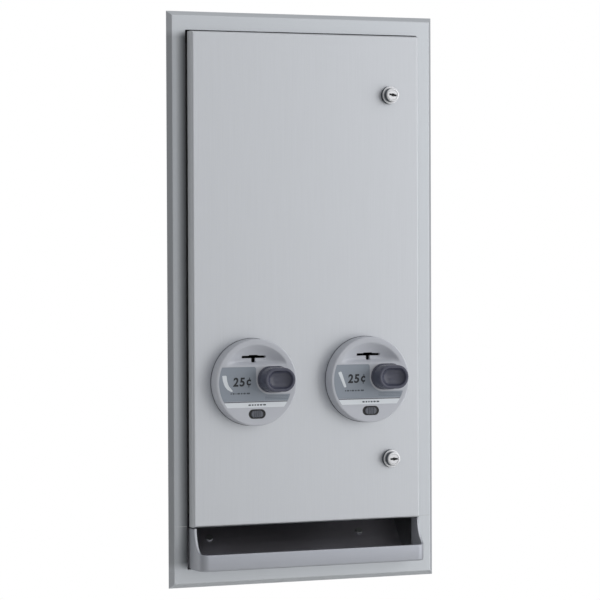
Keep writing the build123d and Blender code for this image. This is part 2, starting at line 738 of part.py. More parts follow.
# Coin discs with their labels, knobs, mechanisms, buttons and coin boxes
for side, disc_x in disc_places.items():
    knob_x = disc_x + knob_shift

    # Coin disc: a shouldered moulding with a finger scoop, the coin slot and a hollow back
    with BuildPart() as scoop_form:
        with BuildSketch(side_plane(disc_x)):
            with BuildLine():
                Polyline(
                    (disc_front - overrun, disc_z + scoop_bottom),
                    (disc_front, disc_z + scoop_bottom),
                    (disc_front + scoop_depth, disc_z + scoop_slope_top),
                    (disc_front + scoop_depth, disc_z + scoop_floor_top),
                    (disc_front, disc_z + scoop_radius),
                    (disc_front - overrun, disc_z + scoop_radius),
                    close=True,
                )
            make_face()
        extrude(amount=disc_radius, both=True)
        with BuildSketch(face_plane(disc_front + scoop_depth + overrun, disc_x, disc_z)):
            Circle(scoop_radius)
        extrude(amount=scoop_depth + 2 * overrun, mode=Mode.INTERSECT)
        deep_face = scoop_form.faces().sort_by(Axis.Y)[-1]
        fillet(deep_face.edges(), radius=scoop_fillet)

    with BuildPart() as coin_bezel:
        with BuildSketch(face_plane(door_front, disc_x, disc_z)):
            Circle(disc_radius)
        extrude(amount=disc_thickness)
        fillet(coin_bezel.faces().sort_by(Axis.Y)[0].edges(), radius=disc_shoulder)
        with BuildSketch(face_plane(door_front, disc_x, disc_z)):
            with Locations((mech_hole_shift, 0)):
                RectangleRounded(mech_hole_width, mech_hole_height, mech_hole_radius)
        extrude(amount=disc_pocket_depth, mode=Mode.SUBTRACT)
        add(scoop_form.part, mode=Mode.SUBTRACT)
        with BuildSketch(face_plane(door_front, disc_x, disc_z)):
            with Locations((0, slot_rise)):
                Rectangle(slot_width, slot_thickness)
                Rectangle(slot_leg_width, slot_leg_drop, align=(Align.CENTER, Align.MAX))
            with Locations((knob_shift, knob_rise)):
                Circle(shaft_radius + running_gap)
            with Locations((0, -button_drop)):
                SlotOverall(button_width + 2 * clearance, button_height + 2 * clearance)
        extrude(amount=disc_thickness + overrun, mode=Mode.SUBTRACT)
        with BuildSketch(face_plane(disc_front + button_recess_depth, disc_x, disc_z)):
            with Locations((0, -button_drop)):
                SlotOverall(button_recess_width, button_recess_height)
        extrude(amount=button_recess_depth + overrun, mode=Mode.SUBTRACT)
        with BuildSketch(face_plane(disc_front + label_recess, disc_x, disc_z)):
            draw_label_outline()
        extrude(amount=label_recess + overrun, mode=Mode.SUBTRACT)
        with BuildSketch(face_plane(door_front, disc_x, disc_z)):
            with Locations(*mech_screw_places):
                Circle(screw_shank_radius + running_gap)
        extrude(amount=mech_screw_grip + clearance, mode=Mode.SUBTRACT)
    coin_bezel.part.label = f"coin_bezel_{side}"
    export_step(coin_bezel.part, f"parts/coin_bezel_{side}.step")

    # Price label: a thin plate in the disc's shallow recess
    with BuildPart() as price_label:
        with BuildSketch(face_plane(disc_front + label_recess, disc_x, disc_z)):
            draw_label_outline()
            offset(amount=-label_edge_gap, mode=Mode.REPLACE)
        extrude(amount=label_thickness)
    price_label.part.label = f"price_label_{side}"
    export_step(price_label.part, f"parts/price_label_{side}.step")

    # Mechanism housing: a plate behind the door with a deep box, open at the back
    with BuildPart() as mech_housing:
        with BuildSketch(face_plane(mech_face, disc_x, disc_z)):
            with Locations((-mech_plate_left, 0)):
                Rectangle(
                    mech_plate_left + mech_plate_right,
                    2 * mech_plate_half_height,
                    align=(Align.MIN, Align.CENTER),
                )
            with Locations(*mech_screw_places):
                Circle(screw_hole_radius, mode=Mode.SUBTRACT)
        extrude(amount=mech_plate)
        box_width = mech_box_left + mech_box_right
        box_height = mech_box_bottom + mech_box_top
        with BuildSketch(face_plane(mech_box_back - mech_plate, disc_x, disc_z)):
            with Locations((-mech_box_left, -mech_box_bottom)):
                Rectangle(box_width, box_height, align=(Align.MIN, Align.MIN))
            with Locations((mech_wall - mech_box_left, mech_wall - mech_box_bottom)):
                Rectangle(
                    box_width - 2 * mech_wall,
                    box_height - 2 * mech_wall,
                    align=(Align.MIN, Align.MIN),
                    mode=Mode.SUBTRACT,
                )
        extrude(amount=mech_box_back - mech_plate - mech_face)
        with BuildSketch(face_plane(mech_face, disc_x, disc_z)):
            with Locations((0, slot_rise)):
                Rectangle(coin_way_width, coin_way_height)
            with Locations((knob_shift, knob_rise)):
                Circle(shaft_radius + running_gap)
            with Locations((0, -button_drop)):
                Circle(button_stem_radius + running_gap)
        extrude(amount=mech_plate, mode=Mode.SUBTRACT)
        with BuildSketch(Plane.XY.offset(disc_z - mech_box_bottom)):
            with Locations((disc_x, 0)):
                Rectangle(coin_exit_width, coin_exit_depth)
        extrude(amount=mech_wall, mode=Mode.SUBTRACT)
    mech_housing.part.label = f"mech_housing_{side}"
    export_step(mech_housing.part, f"parts/mech_housing_{side}.step")

    # Mechanism cover with the rear bearing of the knob's shaft
    with BuildPart() as mech_cover:
        with BuildSketch(face_plane(mech_box_back, disc_x, disc_z)):
            with Locations((-mech_box_left, -mech_box_bottom)):
                Rectangle(box_width, box_height, align=(Align.MIN, Align.MIN))
            with Locations((knob_shift, knob_rise)):
                Circle(shaft_radius + running_gap, mode=Mode.SUBTRACT)
        extrude(amount=mech_plate)
    mech_cover.part.label = f"mech_cover_{side}"
    export_step(mech_cover.part, f"parts/mech_cover_{side}.step")

    # Knob: a tapered oblong grip with a dished face
    with BuildPart() as knob:
        with BuildSketch(face_plane(knob_back, knob_x, knob_z)):
            SlotOverall(knob_base_width, knob_base_height)
        with BuildSketch(face_plane(knob_front, knob_x, knob_z)):
            SlotOverall(knob_front_width, knob_front_height)
        loft()
        fillet(knob.faces().sort_by(Axis.Y)[0].edges(), radius=knob_edge_radius)
        with BuildSketch(face_plane(knob_front, knob_x, knob_z)):
            SlotOverall(knob_front_width - 2 * knob_dish_rim, knob_front_height - 2 * knob_dish_rim)
        with BuildSketch(face_plane(knob_front + knob_dish_depth, knob_x, knob_z)):
            SlotOverall(
                knob_front_width - 2 * (knob_dish_rim + knob_dish_taper),
                knob_front_height - 2 * (knob_dish_rim + knob_dish_taper),
            )
        loft(mode=Mode.SUBTRACT)
        with BuildSketch(face_plane(knob_back, knob_x, knob_z)):
            Circle(shaft_radius + press_gap)
        extrude(amount=knob_bore_depth, mode=Mode.SUBTRACT)
    knob.part.label = f"knob_{side}"
    export_step(knob.part, f"parts/knob_{side}.step")

    # Knob shaft with the flat blade that turns the rotor
    blade_end = cup_front + blade_engagement
    with BuildPart() as knob_shaft:
        with BuildSketch(face_plane(blade_end - blade_length, knob_x, knob_z)):
            Circle(shaft_radius)
        extrude(amount=blade_end - blade_length - knob_back + knob_bore_depth - body_gap)
        with BuildSketch(face_plane(blade_end, knob_x, knob_z)):
            Rectangle(blade_thickness, blade_width)
        extrude(amount=blade_length)
    knob_shaft.part.label = f"knob_shaft_{side}"
    export_step(knob_shaft.part, f"parts/knob_shaft_{side}.step")

    # Coin wheel: a disc on the shaft, with a notch at its top that takes one coin
    with BuildPart() as coin_wheel:
        with BuildSketch(face_plane(coin_wheel_depth + coin_wheel_thickness, knob_x, knob_z)):
            Circle(coin_wheel_radius)
            with Locations((0, coin_wheel_radius)):
                Circle(coin_notch_radius, mode=Mode.SUBTRACT)
            Circle(shaft_radius + press_gap, mode=Mode.SUBTRACT)
        extrude(amount=coin_wheel_thickness)
    coin_wheel.part.label = f"coin_wheel_{side}"
    export_step(coin_wheel.part, f"parts/coin_wheel_{side}.step")

    # Coin return button: a ribbed oblong with a foot behind the disc's face and a stem
    button_z = disc_z - button_drop
    button_front = disc_front - button_proud
    foot_front = disc_floor + clearance
    foot_back = foot_front + button_foot
    with BuildPart() as return_button:
        with BuildSketch(face_plane(foot_front, disc_x, button_z)):
            SlotOverall(button_width, button_height)
        extrude(amount=foot_front - button_front)
        with BuildSketch(face_plane(button_front + button_rib_depth, disc_x, button_z)):
            with GridLocations(button_rib_pitch, 0, button_rib_count, 1):
                Rectangle(button_rib_width, button_height)
        extrude(amount=button_rib_depth, mode=Mode.SUBTRACT)
        with BuildSketch(face_plane(foot_back, disc_x, button_z)):
            SlotOverall(button_width + button_foot_margin, button_height + button_foot_margin)
        extrude(amount=button_foot)
        with BuildSketch(face_plane(mech_face + button_stem_reach, disc_x, button_z)):
            Circle(button_stem_radius)
        extrude(amount=mech_face + button_stem_reach - foot_back)
    return_button.part.label = f"return_button_{side}"
    export_step(return_button.part, f"parts/return_button_{side}.step")

    # Return spring: a compression coil round the button's stem, from its foot to the plate
    spring_length = door_inner - foot_back
    coil_length = spring_length - 2 * spring_wire_radius
    coil_start = (disc_x, door_inner - spring_wire_radius, button_z)
    with BuildPart() as return_spring:
        with BuildLine() as coil:
            Helix(
                coil_length / spring_turns,
                coil_length,
                spring_radius,
                center=coil_start,
                direction=(0, -1, 0),
            )
        with BuildSketch(Plane(origin=coil.line @ 0, z_dir=coil.line % 0)):
            Circle(spring_wire_radius)
        sweep(is_frenet=True)
    return_spring.part.label = f"return_spring_{side}"
    export_step(return_spring.part, f"parts/return_spring_{side}.step")

    # Coin box bracket: a folded hook on the door that the coin box stands in
    box_base = bottom_edge + coin_box_base_height
    shelf_top = box_base - body_gap
    box_front = door_inner + coin_box_front_gap
    box_back = box_front + coin_box_depth
    hook_back = box_back + bracket_rear_gap
    with BuildPart() as coin_box_bracket:
        with BuildSketch(side_plane(disc_x)):
            with Locations((door_inner, shelf_top - sheet)):
                Rectangle(sheet, bracket_back_height, align=(Align.MIN, Align.MIN))
                Rectangle(hook_back + sheet - door_inner, sheet, align=(Align.MIN, Align.MIN))
            with Locations((hook_back, shelf_top - sheet)):
                Rectangle(sheet, bracket_lip + sheet, align=(Align.MIN, Align.MIN))
        extrude(amount=coin_box_width / 2, both=True)
    coin_box_bracket.part.label = f"coin_box_bracket_{side}"
    export_step(coin_box_bracket.part, f"parts/coin_box_bracket_{side}.step")

    # Coin box: an open-topped tin with a folded pull at the back
    with BuildPart() as coin_box:
        with BuildSketch(Plane.XY.offset(box_base)):
            with Locations((disc_x, box_front)):
                Rectangle(coin_box_width, coin_box_depth, align=(Align.CENTER, Align.MIN))
        extrude(amount=coin_box_height)
        offset(amount=-sheet, openings=coin_box.faces().sort_by(Axis.Z)[-1])
        with BuildSketch(Plane.XY.offset(box_base + coin_box_height - sheet)):
            with Locations((disc_x, box_back)):
                Rectangle(
                    coin_box_width * coin_box_pull_share,
                    coin_box_pull_depth,
                    align=(Align.CENTER, Align.MIN),
                )
        extrude(amount=sheet)
    coin_box.part.label = f"coin_box_{side}"
    export_step(coin_box.part, f"parts/coin_box_{side}.step")

# Mechanism screws: from behind, through the plate and the door into the coin discs
with BuildPart() as mech_screws:
    for disc_x in disc_places.values():
        with BuildSketch(face_plane(mech_face, disc_x, disc_z)):
            with Locations(*mech_screw_places):
                Circle(screw_shank_radius)
        extrude(amount=mech_face - door_front + mech_screw_grip)
        with BuildSketch(face_plane(mech_face + mech_screw_head_height, disc_x, disc_z)):
            with Locations(*mech_screw_places):
                Circle(mech_screw_head_radius)
        extrude(amount=mech_screw_head_height)
mech_screws.part.label = "mech_screws"
export_step(mech_screws.part, "parts/mech_screws.step")

# Locks: a ringed body through the door, a keyed plug in it and a cam on the plug's tail
for place, lock_z in lock_places.items():
    ring_front = door_front - lock_ring_thickness
    head_front = ring_front - lock_head_length
    with BuildPart() as lock_body:
        with BuildSketch(face_plane(door_front, lock_x, lock_z)):
            Circle(lock_ring_radius)
        extrude(amount=lock_ring_thickness)
        fillet(lock_body.faces().sort_by(Axis.Y)[0].edges(), radius=lock_ring_fillet)
        with BuildSketch(face_plane(ring_front, lock_x, lock_z)):
            Circle(lock_head_radius)
        extrude(amount=lock_head_length)
        fillet(lock_body.faces().sort_by(Axis.Y)[0].edges(), radius=lock_head_fillet)
        with BuildSketch(face_plane(lock_back, lock_x, lock_z)):
            Circle(lock_barrel_radius)
        extrude(amount=lock_barrel_length)
        with BuildSketch(face_plane(lock_back, lock_x, lock_z)):
            Circle(plug_radius + running_gap)
        extrude(amount=lock_back - head_front + overrun, mode=Mode.SUBTRACT)
    lock_body.part.label = f"lock_body_{place}"
    export_step(lock_body.part, f"parts/lock_body_{place}.step")

    with BuildPart() as lock_plug:
        with BuildSketch(face_plane(cam_front, lock_x, lock_z)):
            Circle(plug_radius)
        extrude(amount=cam_front - head_front - plug_recess)
        with BuildSketch(
            face_plane(head_front + plug_recess + key_slot_depth, lock_x, lock_z)
        ):
            Rectangle(key_slot_width, key_slot_thickness)
            Circle(key_notch_radius)
        extrude(amount=key_slot_depth, mode=Mode.SUBTRACT)
        with BuildSketch(
            face_plane(cam_front + cam_thickness + cam_tail_end, lock_x, lock_z)
        ):
            Circle(cam_tail_radius)
        extrude(amount=cam_thickness + cam_tail_end)
    lock_plug.part.label = f"lock_plug_{place}"
    export_step(lock_plug.part, f"parts/lock_plug_{place}.step")

    # The cam hangs down while the lock is open and points right when it is locked
    with BuildPart() as lock_cam:
        with BuildSketch(face_plane(cam_front + cam_thickness, lock_x, lock_z)):
            with Locations((0, (cam_width / 2 - cam_reach) / 2)):
                SlotOverall(cam_reach + cam_width / 2, cam_width, rotation=90)
            Circle(cam_tail_radius + press_gap, mode=Mode.SUBTRACT)
        extrude(amount=cam_thickness)
    lock_cam.part.label = f"lock_cam_{place}"
    export_step(lock_cam.part, f"parts/lock_cam_{place}.step")

# Lock nuts: one hexagonal nut behind the door on each lock
with BuildPart() as lock_nuts:
    for lock_z in lock_places.values():
        with BuildSketch(face_plane(door_inner + lock_nut_thickness, lock_x, lock_z)):
            RegularPolygon(lock_nut_radius, side_count=6)
            Circle(lock_barrel_radius + running_gap, mode=Mode.SUBTRACT)
        extrude(amount=lock_nut_thickness)
lock_nuts.part.label = "lock_nuts"
export_step(lock_nuts.part, "parts/lock_nuts.step")

# Lock strikes: one angle bracket on the right-hand panel for each lock's cam
strike_back = cam_front - strike_gap
with BuildPart() as lock_strikes:
    for lock_z in lock_places.values():
        with BuildSketch(Plane.XY.offset(lock_z - strike_width / 2)):
            with Locations((half_opening, strike_back - strike_sheet)):
                Rectangle(strike_reach, strike_sheet, align=(Align.MAX, Align.MIN))
                Rectangle(strike_sheet, strike_leg, align=(Align.MAX, Align.MIN))
        extrude(amount=strike_width)
lock_strikes.part.label = "lock_strikes"
export_step(lock_strikes.part, "parts/lock_strikes.step")
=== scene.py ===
# %% [markdown]
# # A recessed washroom vending cabinet
# The machine is a stainless steel box let into a wall. What shows is a drawn flange, a folded
# door with two moulded coin discs and two locks, and the tray below it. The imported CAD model
# holds the sizes and the moving bodies, and this script gives every surface its finish and
# remodels the small parts that a viewer looks at most closely.

# %% Load the CAD model as the frame
import json
import math

import bmesh
import bpy
from mathutils import Euler, Matrix, Vector


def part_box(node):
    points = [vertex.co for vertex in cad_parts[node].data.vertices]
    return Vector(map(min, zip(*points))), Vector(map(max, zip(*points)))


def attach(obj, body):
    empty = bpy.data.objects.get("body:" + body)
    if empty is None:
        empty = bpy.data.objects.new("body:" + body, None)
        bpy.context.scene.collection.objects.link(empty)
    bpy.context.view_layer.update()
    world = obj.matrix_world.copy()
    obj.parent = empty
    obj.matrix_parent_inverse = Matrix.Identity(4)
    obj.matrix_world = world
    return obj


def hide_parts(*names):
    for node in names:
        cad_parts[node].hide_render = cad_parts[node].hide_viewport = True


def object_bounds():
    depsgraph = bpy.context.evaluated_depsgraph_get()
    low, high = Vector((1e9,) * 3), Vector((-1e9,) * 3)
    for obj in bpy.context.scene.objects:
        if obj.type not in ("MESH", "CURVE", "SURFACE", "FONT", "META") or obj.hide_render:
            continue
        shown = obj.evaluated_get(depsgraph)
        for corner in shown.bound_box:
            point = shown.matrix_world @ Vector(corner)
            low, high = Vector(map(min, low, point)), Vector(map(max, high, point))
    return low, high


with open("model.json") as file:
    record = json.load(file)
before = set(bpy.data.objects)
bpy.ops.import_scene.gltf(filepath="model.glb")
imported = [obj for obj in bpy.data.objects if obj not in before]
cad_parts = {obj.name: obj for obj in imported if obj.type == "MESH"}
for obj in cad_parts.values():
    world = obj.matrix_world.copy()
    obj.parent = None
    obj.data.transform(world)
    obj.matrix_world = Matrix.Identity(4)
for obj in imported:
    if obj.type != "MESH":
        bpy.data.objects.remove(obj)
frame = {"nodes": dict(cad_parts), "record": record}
cad_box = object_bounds()
mm = 0.001
print("CAD nodes:", len(frame["nodes"]))

# %% [markdown]
# ## The camera
# The photograph was taken with a long lens from about four metres, a little to the left. Its
# angles come from fitting the flange's four corners, so the render can be laid over it.


# %% Camera at the photograph's angle
def add_object(name, data):
    """Puts a lens, a lamp, a mesh or a text into the scene as an object."""
    made = bpy.data.objects.new(name, data)
    bpy.context.scene.collection.objects.link(made)
    return made


camera_turn = math.radians(23.63)
camera_dip = math.radians(1.30)
camera_roll = math.radians(-0.22)
camera_distance = 3.98
aim_point = Vector((-2.9 * mm, 0, -2.0 * mm))
focal_pixels = 2866
photo_pixels = 600

looking = Euler((math.pi / 2 - camera_dip, 0, -camera_turn)).to_matrix()
looking = looking @ Matrix.Rotation(camera_roll, 3, "Z")
lens = bpy.data.cameras.new("photo_camera")
lens.sensor_width = 36
lens.lens = lens.sensor_width * focal_pixels / photo_pixels
camera = add_object("photo_camera", lens)
camera.matrix_world = Matrix.Translation(
    aim_point + looking @ Vector((0, 0, camera_distance))
) @ looking.to_4x4()
bpy.context.scene.camera = camera
bpy.context.scene.view_settings.view_transform = "Standard"
print("camera at", [round(value, 3) for value in camera.matrix_world.translation])

# %% [markdown]
# ## Colours and nodes
# Colours are written as the hex values that a picture shows. The shader works in linear
# light, so one function converts them. One adds a node with its settings and links, and one
# starts a material and sets what is the same all over it.


# %% Helpers for materials
def linear(hex_colour):
    """An sRGB hex colour as linear red, green, blue and alpha."""
    shares = [int(hex_colour[i:i + 2], 16) / 255 for i in (1, 3, 5)]
    return [c / 12.92 if c <= 0.04045 else ((c + 0.055) / 1.055) ** 2.4 for c in shares] + [1]


def add_node(tree, kind, inputs=None, **settings):
    """Adds a node with these settings; an input is a value, or the socket linked to it."""
    node = tree.nodes.new(kind)
    for name, value in settings.items():
        setattr(node, name, value)
    for name, value in (inputs or {}).items():
        if isinstance(value, bpy.types.NodeSocket):
            tree.links.new(value, node.inputs[name])
        else:
            node.inputs[name].default_value = value
    return node


def new_material(name, settings):
    """A material with these values on its shader, its node tree, and that shader."""
    material = bpy.data.materials.new(name)
    material.use_nodes = True
    tree = material.node_tree
    shader = tree.nodes["Principled BSDF"]
    for socket, value in settings.items():
        shader.inputs[socket].default_value = value
    return material, tree, shader


print("a mid grey in linear light:", [round(share, 3) for share in linear("#808080")])


# %% [markdown]
# ## Light
# The photograph has a white background, a broad soft light from the right and front, and
# darkness to the left. The steel shows mostly what it reflects, so the surroundings that
# glossy rays see get darker towards the left. They get darker at the far right too, because
# the lamp stands there and adds its own light. Dull surfaces are filled mostly from the left,
# because the lamps do their work from the right, and more light comes from above than from
# below. The camera sees plain white.

# %% White surroundings, darker to the left in reflections
fill_left = 0.58
fill_right = 0.27
reflection_left = 0.33
reflection_front = 0.75
lamp_side_share = 0.5
light_below = 0.65
light_above = 1.35
# How far a ray points sideways, from -1 at the left to 1 at the right, where the reflected
# surroundings are darkest and where they are brightest.
darkest_turn = -0.9
brightest_turn = 0.45

world = bpy.data.worlds.new("studio")
world.use_nodes = True
bpy.context.scene.world = world
sky = world.node_tree
direction = add_node(sky, "ShaderNodeTexCoord").outputs["Generated"]
turned = add_node(sky, "ShaderNodeSeparateXYZ", {"Vector": direction})
sideways = turned.outputs["X"]
fill = add_node(sky, "ShaderNodeMapRange", {
    "Value": sideways, "From Min": -1.0, "From Max": 1.0, "To Min": fill_left, "To Max": fill_right,
}).outputs["Result"]
rising = add_node(sky, "ShaderNodeMapRange", {
    "Value": sideways, "From Min": darkest_turn, "From Max": brightest_turn,
    "To Min": reflection_left, "To Max": reflection_front,
}).outputs["Result"]
falling = add_node(sky, "ShaderNodeMapRange", {
    "Value": sideways, "From Min": brightest_turn, "From Max": 1.0,
    "To Min": 1.0, "To Max": lamp_side_share,
}).outputs["Result"]
reflected = add_node(
    sky, "ShaderNodeMath", {0: rising, 1: falling}, operation="MULTIPLY"
).outputs[0]
ray = add_node(sky, "ShaderNodeLightPath")
mirrored = add_node(sky, "ShaderNodeMath", {
    0: ray.outputs["Is Glossy Ray"], 1: ray.outputs["Is Transmission Ray"],
}, operation="MAXIMUM").outputs[0]
lit = add_node(sky, "ShaderNodeMix", {
    "Factor": mirrored, "A": fill, "B": reflected,
}).outputs["Result"]
raised = add_node(sky, "ShaderNodeMapRange", {
    "Value": turned.outputs["Z"], "From Min": -1.0, "From Max": 1.0,
    "To Min": light_below, "To Max": light_above,
}).outputs["Result"]
lit = add_node(sky, "ShaderNodeMath", {0: lit, 1: raised}, operation="MULTIPLY").outputs[0]
shown = add_node(sky, "ShaderNodeMix", {
    "Factor": ray.outputs["Is Camera Ray"], "A": lit, "B": 1.0,
}).outputs["Result"]
sky.nodes["Background"].inputs["Color"].default_value = (1, 1, 1, 1)
sky.links.new(shown, sky.nodes["Background"].inputs["Strength"])
print("fill from", fill_left, "to", fill_right)
print("reflections from", reflection_left, "to", reflection_front)


# %% [markdown]
# The large softbox is what the steel's edges mirror. The smaller one stands nearer, so the
# right-hand disc gets more of its light, and it is screened from the steel's reflections.


# %% Two soft lamps at the right, and a pale floor below
def add_softbox(name, place, size, watts):
    """A square area lamp that faces the middle of the machine."""
    lamp = bpy.data.lights.new(name, "AREA")
    lamp.size = size
    lamp.energy = watts
    softbox = add_object(name, lamp)
    softbox.location = place
    softbox.rotation_euler = (-Vector(place)).to_track_quat("-Z", "Y").to_euler()
    return softbox


def add_shape(name, shape):
    """Puts a bmesh into the scene as a mesh object, and frees it."""
    mesh = bpy.data.meshes.new(name)
    shape.to_mesh(mesh)
    shape.free()
    return add_object(name, mesh)


add_softbox("key_softbox", place=(3.00, -1.55, 0.30), size=4.2, watts=56)
near_light = add_softbox("near_softbox", place=(1.50, -0.75, 0.15), size=1.0, watts=10)
near_light.visible_glossy = False

floor_depth = 1.2
floor_half_width = 3.0
floor_shape = bmesh.new()
bmesh.ops.create_grid(floor_shape, x_segments=1, y_segments=1, size=floor_half_width)
bmesh.ops.translate(floor_shape, verts=floor_shape.verts, vec=(0, 0, -floor_depth))
floor = add_shape("floor", floor_shape)
floor.data.materials.append(new_material(
    "pale floor paint", {"Base Color": linear("#E4E4E2"), "Roughness": 0.6}
)[0])
print("floor at", -floor_depth, "m")

# %% [markdown]
# ## The wall
# The machine hangs in a hole in a wall, and the flange covers the hole's edge. A thin white
# wall with that hole keeps the box out of the picture, as it is in the photograph. The camera
# sees it as plain white, reflections see it half as bright, and the rest sees pale paint.

# %% A white wall with a hole for the box
wall_half_width = 2.0
wall_top = 1.5
wall_thickness = 0.012
reflected_wall = 0.5
hole_gap = 0.002

side_low, side_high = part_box("cabinet_left_side")
hole_half_width = -side_low.x + hole_gap
hole_half_height = side_high.z + hole_gap
wall_shape = bmesh.new()
for left, right, bottom, top in (
    (-wall_half_width, wall_half_width, -floor_depth, wall_top),
    (-hole_half_width, hole_half_width, -hole_half_height, hole_half_height),
):
    corners = [
        wall_shape.verts.new((x, 0, z))
        for x, z in ((left, bottom), (right, bottom), (right, top), (left, top))
    ]
    for start, end in zip(corners, corners[1:] + corners[:1]):
        wall_shape.edges.new((start, end))
bmesh.ops.bridge_loops(wall_shape, edges=wall_shape.edges[:])
bmesh.ops.recalc_face_normals(wall_shape, faces=wall_shape.faces)
bmesh.ops.solidify(wall_shape, geom=wall_shape.faces[:], thickness=wall_thickness)
wall_back = max(vert.co.y for vert in wall_shape.verts)
bmesh.ops.translate(
    wall_shape, verts=wall_shape.verts, vec=(0, wall_thickness - wall_back, 0)
)
wall = add_shape("wall", wall_shape)
wall_paint, paint_tree, paint_shader = new_material(
    "white wall paint", {"Base Color": linear("#E8E8E6"), "Roughness": 0.7}
)
wall_ray = add_node(paint_tree, "ShaderNodeLightPath")
brightness = add_node(paint_tree, "ShaderNodeMapRange", {
    "Value": wall_ray.outputs["Is Camera Ray"], "To Min": reflected_wall, "To Max": 1.0,
}).outputs["Result"]
plain_white = add_node(paint_tree, "ShaderNodeEmission", {"Strength": brightness}).outputs[0]
seen_white = add_node(paint_tree, "ShaderNodeMath", {
    0: wall_ray.outputs["Is Camera Ray"], 1: wall_ray.outputs["Is Glossy Ray"],
}, operation="MAXIMUM").outputs[0]
two_paints = add_node(paint_tree, "ShaderNodeMixShader", {
    0: seen_white, 1: paint_shader.outputs[0], 2: plain_white,
})
paint_tree.links.new(
    two_paints.outputs[0], paint_tree.nodes["Material Output"].inputs["Surface"]
)
wall.data.materials.append(wall_paint)
print("hole", round(2 * hole_half_width, 3), "x", round(2 * hole_half_height, 3), "m")

# %% [markdown]
# ## Steel sheet
# The visible sheet is stainless steel with a satin finish: it was rubbed in one direction with
# a belt, which leaves fine parallel scratches. They are a tenth of a millimetre wide, too fine
# for this picture, so they are drawn about a millimetre wide and very faint. The bent sides
# that face left show almost no reflection in the photograph, so a finish can take their metal
# away: they then show the even fill light in place of reflections, which is painted light.


# %% Sheet metal whose grain runs along one axis, or along each limb of the flange
def vary_colour(tree, shader, colour, noise, spread):
    """Makes a colour darker and lighter by up to this share, after a noise."""
    shade = add_node(tree, "ShaderNodeMapRange", {
        "Value": noise, "To Min": 1 - spread, "To Max": 1 + spread,
    }).outputs["Result"]
    tree.links.new(add_node(tree, "ShaderNodeVectorMath", {
        0: linear(colour)[:3], "Scale": shade,
    }, operation="SCALE").outputs[0], shader.inputs["Base Color"])


def vary_surface(tree, shader, noise, roughness, spread, depth, bump_mm):
    """Moves the roughness up and down by up to this much, and adds a bump, after a noise."""
    tree.links.new(add_node(tree, "ShaderNodeMapRange", {
        "Value": noise, "To Min": roughness - spread, "To Max": roughness + spread,
    }).outputs["Result"], shader.inputs["Roughness"])
    tree.links.new(add_node(tree, "ShaderNodeBump", {
        "Height": noise, "Strength": depth, "Distance": bump_mm * mm,
    }).outputs["Normal"], shader.inputs["Normal"])


# How far left a face looks, as the X of its direction: still metal at the first, and without
# metal at the second, where it shows painted light from the fill.
metal_x = -0.80
painted_light_x = -0.97


def rubbed_steel(
    name, colour, roughness, grain, across_mm=1.2, along_mm=90, depth=0.06, spread=0.05,
    painted_light_sides=False,
):
    """Rubbed or rolled sheet: a noise stretched along the grain moves colour, gloss and bump."""
    material, tree, shader = new_material(name, {"Metallic": 1.0})
    point = add_node(tree, "ShaderNodeTexCoord").outputs["Object"]
    fine, long = 1 / (across_mm * mm), 1 / (along_mm * mm)
    stretches = {"upright": (fine, fine, long), "level": (long, fine, fine)}
    first = stretches["level" if grain == "level" else "upright"]
    pattern = add_node(tree, "ShaderNodeMapping", {"Vector": point, "Scale": first}).outputs[0]
    if grain == "limbs":
        level = add_node(
            tree, "ShaderNodeMapping", {"Vector": point, "Scale": stretches["level"]}
        ).outputs[0]
        apart = add_node(tree, "ShaderNodeVectorMath", {0: point}, operation="ABSOLUTE").outputs[0]
        sides = add_node(tree, "ShaderNodeSeparateXYZ", {"Vector": apart})
        beyond = add_node(tree, "ShaderNodeMath", {
            0: sides.outputs["Z"], 1: sides.outputs["X"],
        }, operation="SUBTRACT").outputs[0]
        low, high = cad_box
        mitre = add_node(tree, "ShaderNodeMath", {
            0: beyond, 1: high[2] - high[0],
        }, operation="GREATER_THAN").outputs[0]
        pattern = add_node(tree, "ShaderNodeMix", {
            "Factor": mitre, "A": pattern, "B": level,
        }, data_type="VECTOR").outputs["Result"]
    scratches = add_node(tree, "ShaderNodeTexNoise", {
        "Vector": pattern, "Scale": 1.0, "Detail": 3.0, "Roughness": 0.6,
    }).outputs["Fac"]
    vary_colour(tree, shader, colour, scratches, spread)
    vary_surface(tree, shader, scratches, roughness, spread, depth, across_mm)
    # Painted light: faces that look left lose their metal, so the fill lights them evenly in place
    # of their dark reflections.
    if painted_light_sides:
        across = add_node(tree, "ShaderNodeTexCoord").outputs["Normal"]
        leftwards = add_node(tree, "ShaderNodeSeparateXYZ", {"Vector": across}).outputs["X"]
        tree.links.new(add_node(tree, "ShaderNodeMapRange", {
            "Value": leftwards, "From Min": painted_light_x, "From Max": metal_x, "To Min": 0, "To Max": 1,
        }).outputs["Result"], shader.inputs["Metallic"])
    return material


finishes = {}
finishes["satin_stainless"] = rubbed_steel(
    "satin stainless, grain upright", "#C8CBD0", 0.46, "upright", painted_light_sides=True
)
print("the door's finish:", finishes["satin_stainless"].name)

# %% [markdown]
# The flange is rubbed along each of its limbs, and the tray along its length. The cabinet and
# the chute are left as the mill rolled them, which gives a coarser, softer grain. The fold
# round the tray's edge gets a lighter steel, a painted highlight where its rim catches the light.

# %% The other steel finishes
flange_steel = rubbed_steel("satin stainless, grain along each limb", "#C6CACF", 0.44, "limbs")
finishes["tray_steel"] = rubbed_steel(
    "satin stainless, grain level", "#AEB1B9", 0.46, "level", painted_light_sides=True
)
finishes["cabinet_stainless"] = rubbed_steel(
    "mill finish stainless", "#A9ACAE", 0.42, "upright", across_mm=4, along_mm=160, spread=0.06
)
finishes["folded_edge"] = rubbed_steel("stainless edge, painted highlight", "#BCBFC5", 0.48, "level")
finishes["chute_steel"] = rubbed_steel(
    "mill finish stainless, grain level", "#BDBBC4", 0.42, "level", across_mm=3, along_mm=120
)
print("steel finishes:", sorted(finishes))
